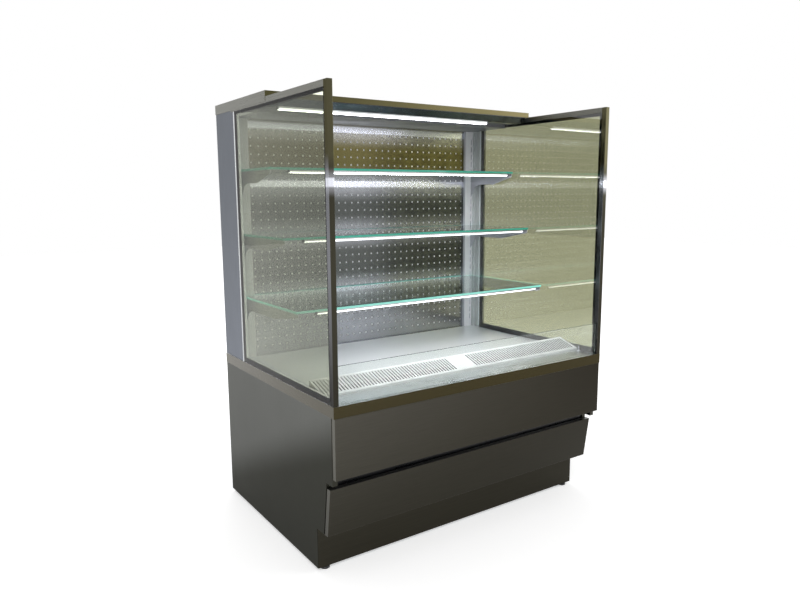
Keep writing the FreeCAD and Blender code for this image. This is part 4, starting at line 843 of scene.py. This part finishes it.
@dataclass
class Base:
    """Frame, feet and sheet panels under the deck.

    Args:
        foot_radius: radius of a foot's pad in metres.
        screw_inset: distance of the rear panel's screws from its edge.
        screw_count: screws along the rear panel's top and bottom edges.
    """

    foot_radius: float = 16 * MM
    screw_inset: float = 14 * MM
    screw_count: int = 7

    def build(self) -> None:
        """Builds every piece of the base."""
        self.panels()
        self.feet()
        self.rear_screws()

    def panels(self) -> None:
        """Folds the panels and dresses the frame."""
        folded("upper_front_panel", [FRONT_STEEL], "cabinet", 1.2 * MM)
        folded("lower_front_panel", [FRONT_STEEL], "lower_front_panel", 1.2 * MM)
        folded("kick_plate", [FRONT_STEEL], "cabinet", 0.4 * MM)
        # Painted shade differs between the sides: a slanting line on the left, an even fall on the right.
        folded("base_side_left", [SIDE_STEEL], "cabinet", 1.2 * MM)
        folded("base_side_right", [FAR_SIDE_STEEL], "cabinet", 1.2 * MM)
        folded("counter_band", [BAND_STEEL], "cabinet", 0.6 * MM)
        folded("base_rear_panel", [ZINC], "cabinet", 0.3 * MM)
        dress("base_frame", ZINC)
        dress("foot_blocks", ZINC)
        # The backing behind the gap between the front panels is painted black as the shade in that gap.
        dress("gap_backing", BLACK_ENAMEL)

    def feet(self) -> None:
        """Turns the four levelling feet: pad, nut and threaded stem."""
        for name in ("front_left", "front_right", "rear_left", "rear_right"):
            node = f"foot_{name}"
            low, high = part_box(node)
            middle = ((low[0] + high[0]) / 2, (low[1] + high[1]) / 2, 0.0)
            radius = self.foot_radius
            shape = bmesh.new()
            profile = [(0, 0), (radius * 0.86, 0), (radius, 1.5 * MM), (radius, 5 * MM),
                       (radius * 0.82, 8.5 * MM), (radius * 0.5, 10 * MM), (0, 10 * MM)]
            turned(shape, profile, Matrix.Translation(middle), steps=40)
            bmesh.ops.create_cone(
                shape, cap_ends=True, segments=6, radius1=9 * MM, radius2=9 * MM, depth=6 * MM,
                matrix=Matrix.Translation((middle[0], middle[1], 13 * MM)))
            thread = [(0, 10 * MM)]
            turns = 22
            for step in range(turns):
                height = 10 * MM + (high[2] - 10 * MM) * step / turns
                thread += [(4.2 * MM, height), (4.95 * MM, height + 0.8 * MM)]
            thread += [(4.2 * MM, high[2]), (0, high[2])]
            turned(shape, thread, Matrix.Translation((middle[0], middle[1], 0.0)), steps=16)
            finish_piece(f"{node}_turned", shape, [BLACK_PLASTIC, SCREW_STEEL], node, [node],
                         lambda face: 1 if face.calc_center_median().z > 10.2 * MM else 0, smooth=40)

    def rear_screws(self) -> None:
        """Adds the screws that hold the rear vent panel."""
        low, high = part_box("base_rear_panel")
        shape = bmesh.new()
        for height in (low[2] + self.screw_inset, high[2] - self.screw_inset):
            for step in range(self.screw_count):
                share = step / (self.screw_count - 1)
                x = low[0] + self.screw_inset + (high[0] - low[0] - 2 * self.screw_inset) * share
                screw(shape, (x, high[1] - 1.8 * MM, height), (0, 1, 0), 3.2 * MM)
        finish_piece("rear_panel_screws", shape, [SCREW_STEEL], "cabinet", smooth=40)


# ---------------------------------------------------------------- deck and air path


@dataclass
class AirPath:
    """Tub, drain, deck, grille, fans and cooling coil.

    Args:
        fin_pitch: distance between the coil's fins in metres.
        tube_radius: radius of the coil's tubes.
        rows: rows of tubes, one above the other.
        passes: tubes in a row.
        row_rise: height of the first row, and from row to row.
        row_inset: distance of a row's end tubes from the coil's faces.
        end_plate: thickness of the coil's end plates.
        blades: blades of a fan.
        fan_radius: reach of a cool-air fan's blades.
        fan_chord: width of its blades at their tips.
        slots_reach: how far the grille's slots lie to each side of its middle.
    """

    fin_pitch: float = 8 * MM
    tube_radius: float = 5 * MM
    rows: int = 3
    passes: int = 10
    row_rise: float = 32 * MM
    row_inset: float = 20 * MM
    end_plate: float = 3 * MM
    blades: int = 5
    fan_radius: float = 58 * MM
    fan_chord: float = 44 * MM
    slots_reach: float = 570 * MM

    def build(self) -> None:
        """Builds every piece of the air path."""
        # The tub and drain are painted dull grey as the shade under the deck.
        dress("insulated_tub", WHITE_LINER)
        dress("drain_outlet", WHITE_LINER)
        dress("fan_plate", ZINC)
        folded("deck_pan", [DECK_STEEL], "deck_pan", 0.6 * MM)
        # Painted shade: the grille's underside and the walls of its slots take the near-black finish.
        slot: Rule = lambda face: 1 if face.normal.z < -0.3 or (
            abs(face.normal.x) > 0.7 and abs(face.calc_center_median().x) < self.slots_reach) else 0
        folded("air_grille", [WHITE_ENAMEL, SLOT_SHADE], "air_grille", 0.3 * MM, slot)
        dress("grille_pins", UPRIGHT_STEEL)
        self.coil()
        for side in ("left", "right"):
            node = f"cool_fan_{side}"
            low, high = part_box(node)
            centre = Vector([(a + b) / 2 for a, b in zip(low, high)])
            fan_piece(node, centre, self.fan_radius, self.fan_chord, self.blades)

    def coil(self) -> None:
        """Stands fins, tubes and return bends in for the coil's block."""
        low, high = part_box("cooling_coil")
        plate = self.end_plate
        shape = finned_block((low[0] + plate, low[1], low[2] + 15 * MM), (high[0] - plate, high[1], high[2]),
                             self.fin_pitch, 0.6 * MM)
        for x in (low[0], high[0] - plate):
            block(shape, (x, low[1], low[2]), (x + plate, high[1], high[2]))
        finish_piece("cooling_coil_fins", shape, [FIN_ALUMINIUM], "cabinet",
                     ["cooling_coil"])
        tubes = bmesh.new()
        step = (high[1] - low[1] - 2 * self.row_inset) / (self.passes - 1)
        rows = [low[2] + self.row_rise * (row + 1) for row in range(self.rows)]
        for z in rows:
            for run in range(self.passes):
                y = low[1] + self.row_inset + run * step
                bmesh.ops.create_cone(tubes, cap_ends=True, segments=10, radius1=self.tube_radius,
                                      radius2=self.tube_radius, depth=high[0] - low[0] + 2 * plate,
                                      matrix=aimed((0, y, z), (1, 0, 0)))
        for z in rows:
            for run in range(self.passes - 1):
                side = 1 if run % 2 else -1
                x = high[0] + plate if side > 0 else low[0] - plate
                y = low[1] + self.row_inset + (run + 0.5) * step
                return_bend(tubes, (x, y, z), side, step / 2, self.tube_radius)
        finish_piece("cooling_coil_tubes", tubes, [COPPER], "cabinet", smooth=40)


def return_bend(shape: Mesh, centre: Sequence[float], side: int, radius: float, tube: float) -> None:
    """Adds the half ring that joins two neighbouring tubes.

    Args:
        shape: the mesh that gets the bend.
        centre: middle between the two tube ends.
        side: +1 where the bend stands out to +X, -1 to -X.
        radius: half the distance between the tubes.
        tube: radius of the tube.
    """
    start = Matrix.Translation((0, radius, 0)) @ Matrix.Rotation(math.pi / 2, 4, "Y")
    ring = bmesh.ops.create_circle(shape, cap_ends=False, segments=10, radius=tube, matrix=start)["verts"]
    edges = list({edge for vertex in ring for edge in vertex.link_edges})
    spun = bmesh.ops.spin(shape, geom=ring + edges, cent=(0, 0, 0), axis=(0, 0, -side), angle=math.pi,
                          steps=8, use_duplicate=False)
    last = [item for item in spun["geom_last"] if isinstance(item, Vertex)]
    linked = joined(ring + last)
    faces = {face for vertex in linked for face in vertex.link_faces}
    bmesh.ops.recalc_face_normals(shape, faces=list(faces))
    bmesh.ops.translate(shape, verts=list(linked), vec=centre)


def finned_block(low: Sequence[float], high: Sequence[float], pitch: float, thick: float) -> Mesh:
    """Builds a row of thin upright fins across a block's width.

    Args:
        low: the block's lowest corner.
        high: its highest corner.
        pitch: distance from fin to fin.
        thick: thickness of a fin; real ones of 0.2 mm would not show.

    Returns:
        The mesh of the fins.
    """
    shape = bmesh.new()
    count = math.floor((high[0] - low[0]) / pitch)
    start = (low[0] + high[0]) / 2 - pitch * (count - 1) / 2
    for step in range(count):
        x = start + step * pitch
        block(shape, (x - thick / 2, low[1], low[2]), (x + thick / 2, high[1], high[2]))
    return shape


def fan_piece(node: str, centre: Vector, radius: float, chord: float, blades: int) -> Piece:
    """Stands a moulded fan with cambered blades in for a node.

    Args:
        node: the fan's node and body.
        centre: middle of its hub.
        radius: reach of its blades.
        chord: width of a blade at its tip.
        blades: how many it has.

    Returns:
        The new object.
    """
    shape = bmesh.new()
    hub = 18 * MM
    bore, half = 5.2 * MM, 9.8 * MM
    turned(shape, [(bore, -half), (hub * 0.9, -half), (hub * 0.985, -8 * MM), (hub * 0.985, 8 * MM),
                   (hub * 0.9, half), (bore, half), (bore, -half)], Matrix.Identity(4), 32)
    for step in range(blades):
        before = set(shape.verts)
        bmesh.ops.create_grid(shape, x_segments=8, y_segments=8, size=0.5)
        sheet = [vertex for vertex in shape.verts if vertex not in before]
        inner = hub * 0.93
        for vertex in sheet:
            across, along = vertex.co.x * 2, vertex.co.y + 0.5
            reach = inner + (radius * 0.985 - inner) * along
            half = (11 * MM + (chord / 2 - 11 * MM) * min(1.0, along * 1.4)) * 0.96
            shift = across * half
            angle = shift / max(reach, 1e-6)
            pitch = math.radians(25 - 5 * along)
            rise = -shift * math.sin(pitch) + 3 * MM * (1 - across * across) * along
            shrink = math.cos(pitch)
            vertex.co = Vector((reach * math.sin(angle * shrink), reach * math.cos(angle * shrink), rise))
        faces = [face for face in shape.faces if face.verts[0] not in before]
        bmesh.ops.solidify(shape, geom=faces, thickness=1.6 * MM)
        blade = [vertex for vertex in shape.verts if vertex not in before]
        turn = Matrix.Rotation(step * math.tau / blades, 4, "Z")
        bmesh.ops.transform(shape, matrix=turn, verts=blade)
    bmesh.ops.transform(shape, matrix=aimed(centre, (0, 1, 0)), verts=shape.verts[:])
    bmesh.ops.recalc_face_normals(shape, faces=shape.faces[:])
    return finish_piece(f"{node}_moulded", shape, [BLACK_PLASTIC], node, [node], smooth=40)


# ---------------------------------------------------------------- glazing


@dataclass
class Glazing:
    """Riser glass, double-glazed sides, posts and rails."""

    polish: float = 0.8 * MM

    def build(self) -> None:
        """Builds every pane and profile."""
        flat_edge: Rule = lambda face: 1 if abs(face.normal.y) < 0.7 else 0
        folded("riser_glass", [RISER_GLASS, RISER_EDGE], "cabinet", self.polish, flat_edge)
        for side in ("left", "right"):
            # The right pane takes the painted olive reflection.
            dress(f"side_glass_{side}", FAR_SIDE_GLASS if side == "right" else SIDE_GLASS)
            dress(f"glass_seal_{side}", SEAL)
            folded(f"post_{side}", [POST_STEEL], "cabinet", 1.4 * MM)
            folded(f"rail_{side}", [CANOPY_STEEL], "cabinet", 1.0 * MM)


# ---------------------------------------------------------------- rear of the case


@dataclass
class Rear:
    """Columns, rear wall, uprights and the perforated baffle.

    Args:
        hole_pitch: distance from hole to hole in metres.
        hole: width of a hole.
        flange: depth of the baffle's foot flange.
        upright_width: width of the uprights that the flange stops short of.
        skin_from: distance from the case's middle beyond which a column's face is its outer skin.
    """

    hole_pitch: float = 31 * MM
    hole: float = 7 * MM
    flange: float = 16 * MM
    upright_width: float = 44 * MM
    skin_from: float = 598 * MM

    def build(self) -> None:
        """Builds every piece at the rear."""
        outer: Rule = lambda face: 0 if (abs(face.normal.x) > 0.7
                                         and abs(face.calc_center_median().x) > self.skin_from) else 1
        for side in ("left", "right"):
            folded(f"column_{side}", [COLUMN_STEEL, WALL_ENAMEL], "cabinet", 1.0 * MM, outer)
            folded(f"upright_{side}", [UPRIGHT_STEEL], "cabinet", 0.3 * MM)
        # The rear wall's front faces carry the liner's painted glow.
        inside: Rule = lambda face: 0 if face.normal.y < -0.7 else 1
        folded("rear_wall", [DUCT_LINER, ZINC], "cabinet", 0.3 * MM, inside)
        self.baffle()

    def baffle(self) -> None:
        """Pierces the baffle with its full grid of holes and folds its foot."""
        low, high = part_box("back_baffle")
        front = high[1] - 1.5 * MM
        shape = bmesh.new()
        pierced_sheet(shape, (low[0], front, low[2]), high, self.hole_pitch, self.hole, 2 * MM)
        reach = high[0] - self.upright_width
        block(shape, (-reach, front - self.flange, low[2]), (reach, front, low[2] + 1.5 * MM))
        finish_piece("back_baffle_pierced", shape, [BAFFLE_STEEL], "cabinet",
                     ["back_baffle"])


# ---------------------------------------------------------------- canopy


@dataclass
class Canopy:
    """Lid, fascia, lamp, air comb and ceiling.

    Args:
        cell: pitch of the air comb's cells in metres.
        web: thickness of the walls between them.
    """

    cell: float = 9 * MM
    web: float = 1.2 * MM

    def build(self) -> None:
        """Builds every piece of the canopy."""
        folded("canopy_shell", [CANOPY_STEEL], "cabinet", 1.0 * MM)
        folded("canopy_fascia", [FASCIA_STEEL], "cabinet", 0.6 * MM)
        # The ceiling is painted mid grey as shade.
        folded("canopy_ceiling", [SHADED_ENAMEL], "cabinet", 0.3 * MM)
        lamp_piece("canopy_lamp", "cabinet", CANOPY_DIFFUSER)
        self.comb()

    def comb(self) -> None:
        """Builds the open-celled comb that straightens the falling air."""
        low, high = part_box("air_comb")
        shape = bmesh.new()
        pierced_sheet(shape, (low[0], 0.0, low[1]), (high[0], high[2] - low[2], high[1]), self.cell,
                      self.cell - self.web, 0.0)
        flip = Matrix(((1, 0, 0, 0), (0, 0, 1, 0), (0, -1, 0, high[2]), (0, 0, 0, 1)))
        bmesh.ops.transform(shape, matrix=flip, verts=shape.verts[:])
        bmesh.ops.recalc_face_normals(shape, faces=shape.faces[:])
        # The comb is painted mid grey as shade, like the ceiling.
        finish_piece("air_comb_cells", shape, [SHADED_ENAMEL], "cabinet", ["air_comb"])


def lamp_piece(node: str, body: str, diffuser: Finish) -> Piece:
    """Stands an aluminium strip lamp with an opal diffuser and end caps in for a node.

    Args:
        node: the lamp's node.
        body: the body that it rides on.
        diffuser: the finish of its lit faces.

    Returns:
        The new object.
    """
    low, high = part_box(node)
    cap = 3 * MM

    def part(face: Face) -> int:
        """Sorts faces: 0 the lit underside, 1 housing, 2 end caps, 3 the diffuser's rim."""
        x = face.calc_center_median().x
        if x < low[0] + cap or x > high[0] - cap or abs(face.normal.x) > 0.7:
            return 2
        if face.normal.z > 0.3 or face.calc_center_median().z > lip:
            return 1
        return 0 if face.normal.z < -0.9 else 3

    shape = copy_of(node)
    lip = (low[2] + high[2]) / 2
    bmesh.ops.bisect_plane(shape, geom=shape.verts[:] + shape.edges[:] + shape.faces[:], dist=1e-6,
                           plane_co=(0, 0, lip), plane_no=(0, 0, 1))
    for x in (low[0] + cap, high[0] - cap):
        bmesh.ops.bisect_plane(shape, geom=shape.verts[:] + shape.edges[:] + shape.faces[:], dist=1e-6,
                               plane_co=(x, 0, 0), plane_no=(1, 0, 0))
    finishes = [diffuser, LAMP_HOUSING, CAP_PLASTIC, DIFFUSER_RIM]
    return finish_piece(f"{node}_strip", shape, finishes, body, [node], part)


# ---------------------------------------------------------------- shelves


@dataclass
class Shelf:
    """One glass shelf with its brackets and strip lamp.

    Args:
        level: which shelf it is.
    """

    level: str

    def build(self) -> None:
        """Builds the shelf's glass, brackets and lamp."""
        body = f"shelf_{self.level}"
        edge: Rule = lambda face: 1 if abs(face.normal.z) < 0.9 else 0
        shape = copy_of(f"{body}_glass")
        # The lowest shelf's edge takes the brighter painted glow.
        rim = LIT_EDGE if self.level == "bottom" else SHELF_EDGE
        finish_piece(f"{body}_pane", shape, [SHELF_GLASS, rim], body, [f"{body}_glass"], edge)
        folded(f"{body}_brackets", [BRACKET_STEEL], body, 0.4 * MM)
        lamp_piece(f"{body}_lamp", body, DIFFUSER)


# ---------------------------------------------------------------- machine compartment


@dataclass
class Machine:
    """Condensing unit, pipes and control box behind the front panels.

    Args:
        fin_pitch: distance between the condenser's fins in metres.
        end_plate: thickness of the condenser's end plates.
        fan_radius: reach of the condenser fan's blades.
        fan_chord: width of its blades at their tips.
        shell_radius: radius of the compressor's shell.
        shell_setback: distance of its middle behind the case's middle.
        dome: height of the shell's domed ends.
    """

    fin_pitch: float = 5 * MM
    end_plate: float = 2 * MM
    fan_radius: float = 118 * MM
    fan_chord: float = 84 * MM
    shell_radius: float = 80 * MM
    shell_setback: float = 55 * MM
    dome: float = 44 * MM

    def build(self) -> None:
        """Builds every piece of the machine compartment."""
        folded("unit_tray", [ZINC], "cabinet", 0.5 * MM)
        dress("condenser_shroud", BLACK_ENAMEL)
        low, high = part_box("condenser_fan")
        centre = Vector([(a + b) / 2 for a, b in zip(low, high)])
        fan_piece("condenser_fan", centre, self.fan_radius, self.fan_chord, 5)
        self.condenser()
        self.compressor()
        dress("refrigerant_pipes", COPPER)
        self.control_box()

    def condenser(self) -> None:
        """Stands fins between two end plates in for the condenser's block."""
        low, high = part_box("condenser_coil")
        plate = self.end_plate
        shape = finned_block((low[0] + plate, low[1], low[2] + 2 * plate),
                             (high[0] - plate, high[1], high[2] - 2 * plate), self.fin_pitch, 0.5 * MM)
        for x in (low[0], high[0] - plate):
            block(shape, (x, low[1], low[2]), (x + plate, high[1], high[2]))
        for z in (low[2], high[2] - plate):
            block(shape, (low[0], low[1], z), (high[0], high[1], z + plate))
        finish_piece("condenser_coil_fins", shape, [FIN_ALUMINIUM], "cabinet",
                     ["condenser_coil"])

    def compressor(self) -> None:
        """Turns the compressor's two pressed shells and adds its plate and relay case."""
        low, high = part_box("compressor")
        radius = self.shell_radius
        middle = ((low[0] + high[0]) / 2, self.shell_setback, 0.0)
        base = low[2] + 12 * MM
        top = high[2]
        seam = (base + top) / 2
        dome = self.dome
        profile = [(0.0, base)]
        for step in range(1, 9):
            angle = math.pi / 2 * step / 8
            profile.append((radius * math.sin(angle), base + dome * (1 - math.cos(angle))))
        profile += [(radius, seam - 3 * MM), (radius + 5 * MM, seam - 1 * MM),
                    (radius + 5 * MM, seam + 2 * MM), (radius, seam + 3 * MM)]
        for step in range(8, -1, -1):
            angle = math.pi / 2 * step / 8
            profile.append((radius * math.sin(angle), top - dome * (1 - math.cos(angle))))
        shape = bmesh.new()
        turned(shape, profile, Matrix.Translation(middle), 48)
        plate = bmesh.new()
        block(plate, (middle[0] - 104 * MM, middle[1] - 75 * MM, low[2]),
              (middle[0] + 104 * MM, middle[1] + 75 * MM, base + 0.5 * MM))
        block(plate, (middle[0] - 26 * MM, middle[1] - radius - 26 * MM, seam - 26 * MM),
              (middle[0] + 26 * MM, middle[1] - radius + 26 * MM, seam + 26 * MM))
        round_edges(plate, 3 * MM)
        finish_piece("compressor_shell", shape, [BLACK_ENAMEL], "cabinet", ["compressor"],
                     smooth=40)
        finish_piece("compressor_plate", plate, [BLACK_ENAMEL], "cabinet", ["compressor"])

    def control_box(self) -> None:
        """Rounds the control box, adds its lid screws and marks the rocker."""
        folded("control_box", [GREY_POWDER], "cabinet", 1.2 * MM, outer_only=True)
        low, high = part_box("control_box")
        shape = bmesh.new()
        for x in (low[0] + 10 * MM, high[0] - 10 * MM):
            for z in (low[2] + 10 * MM, high[2] - 10 * MM):
                screw(shape, (x, low[1], z), (0, -1, 0), 3 * MM)
        finish_piece("control_box_screws", shape, [SCREW_STEEL], "cabinet", smooth=40)
        folded("power_rocker", [ROCKER_GREEN], "power_rocker", 0.3 * MM)


# ---------------------------------------------------------------- studio


@dataclass
class Studio:
    """Floor, world, lamps and camera.

    Args:
        eye: the camera's place in metres.
        yaw: its turn about the upright axis in degrees.
        pitch: its tilt in degrees.
        roll: its roll in degrees.
        focal: focal length in pixels of an image 800 wide.
    """

    eye: tuple[float, float, float] = (-1.53631, -2.16126, 1.21210)
    yaw: float = -34.4655
    pitch: float = -8.7474
    roll: float = -0.3324
    focal: float = 678.95

    def build(self) -> None:
        """Builds the whole studio."""
        self.floor()
        self.world()
        self.lamps()
        self.camera()

    def seen(self, tree: Tree) -> Socket:
        """Tells the rays that show the background, straight, mirrored or through glass.

        Args:
            tree: the node tree of the floor or the world.

        Returns:
            A socket that is 1 for such rays and 0 for the light that falls on the object.
        """
        path = add(tree, "LightPath")
        direct = add(tree, "Math", {
            0: path.outputs["Is Camera Ray"], 1: path.outputs["Is Glossy Ray"]}, operation="MAXIMUM")
        through = add(tree, "Math", {
            0: direct.outputs[0], 1: path.outputs["Is Transmission Ray"]}, operation="MAXIMUM")
        return through.outputs[0]

    def floor(self) -> None:
        """Lays the pale floor."""
        shape = bmesh.new()
        bmesh.ops.create_grid(shape, x_segments=1, y_segments=1, size=14.0)
        mesh = bpy.data.meshes.new("studio_floor")
        shape.to_mesh(mesh)
        shape.free()
        material = bpy.data.materials.new("floor_white_paper")
        material.use_nodes = True
        tree = material.node_tree
        shader = tree.nodes["Principled BSDF"]
        shader.inputs["Base Color"].default_value = linear("f4f4f4")
        shader.inputs["Roughness"].default_value = 0.9
        shader.inputs["Specular IOR Level"].default_value = 0.0
        shader.inputs["Emission Color"].default_value = (1.0, 1.0, 1.0, 1.0)
        # The floor glows for the rays that see it, less near the middle than far off: painted light that
        # whitens the far floor while the object's shadow still shows near it.
        through = self.seen(tree)
        place = add(tree, "TexCoord").outputs["Object"]
        away = add(tree, "VectorMath", {0: place}, operation="LENGTH")
        level = add(tree, "MapRange", {
            "Value": away.outputs["Value"], **limits(0.9, 3.2, 0.42, 0.78)})
        lift = add(tree, "Math", {0: through, 1: level.outputs["Result"]},
                   operation="MULTIPLY")
        tree.links.new(lift.outputs[0], shader.inputs["Emission Strength"])
        mesh.materials.append(material)
        floor = bpy.data.objects.new("studio_floor", mesh)
        bpy.context.scene.collection.objects.link(floor)

    def world(self) -> None:
        """Sets an even pale world that shows white to the camera, in gloss and through glass."""
        world = bpy.data.worlds.new("studio_world")
        bpy.context.scene.world = world
        world.use_nodes = True
        tree = world.node_tree
        background = tree.nodes["Background"]
        background.inputs["Color"].default_value = (1.0, 1.0, 1.0, 1.0)
        through = self.seen(tree)
        level = add(tree, "MapRange", {"Value": through, "To Min": 0.55, "To Max": 1.0})
        tree.links.new(level.outputs["Result"], background.inputs["Strength"])

    def lamps(self) -> None:
        """Hangs three large soft lamps round the object."""
        for name, place, target, size, power in (
                ("key_lamp", (-3.2, -3.4, 3.6), (0, 0, 0.8), 2.6, 90.0),
                ("fill_lamp", (3.6, -2.6, 2.4), (0, 0, 0.8), 2.6, 45.0),
                ("back_lamp", (0.5, 3.6, 3.2), (0, 0, 1.0), 3.0, 60.0)):
            light = bpy.data.lights.new(name, "AREA")
            light.size = size
            light.energy = power
            lamp = bpy.data.objects.new(name, light)
            aim = Vector(target) - Vector(place)
            lamp.matrix_world = Matrix.Translation(place) @ aim.to_track_quat("-Z", "Y").to_matrix().to_4x4()
            bpy.context.scene.collection.objects.link(lamp)

    def camera(self) -> None:
        """Stands the camera at the photograph's viewpoint."""
        data = bpy.data.cameras.new("camera")
        data.sensor_fit = "HORIZONTAL"
        data.sensor_width = 36.0
        data.lens = self.focal / 800 * data.sensor_width
        data.clip_end = 60.0
        yaw, pitch, roll = (math.radians(angle) for angle in (self.yaw, self.pitch, self.roll))
        forward = Vector((-math.sin(yaw) * math.cos(pitch), math.cos(yaw) * math.cos(pitch), math.sin(pitch)))
        right = Vector((math.cos(yaw), math.sin(yaw), 0.0))
        upward = right.cross(forward)
        right, upward = (right * math.cos(roll) + upward * math.sin(roll),
                         upward * math.cos(roll) - right * math.sin(roll))
        turn = Matrix((right, upward, -forward)).transposed().to_4x4()
        camera = bpy.data.objects.new("camera", data)
        camera.matrix_world = Matrix.Translation(self.eye) @ turn
        bpy.context.scene.collection.objects.link(camera)
        bpy.context.scene.camera = camera


def main() -> None:
    logging.basicConfig(level=logging.INFO, format="%(message)s")
    bpy.context.scene.view_settings.view_transform = "Standard"
    Studio().build()
    Base().build()
    AirPath().build()
    Glazing().build()
    Rear().build()
    Canopy().build()
    for level in ("bottom", "middle", "top"):
        Shelf(level).build()
    Machine().build()


if __name__ == "__main__":
    main()
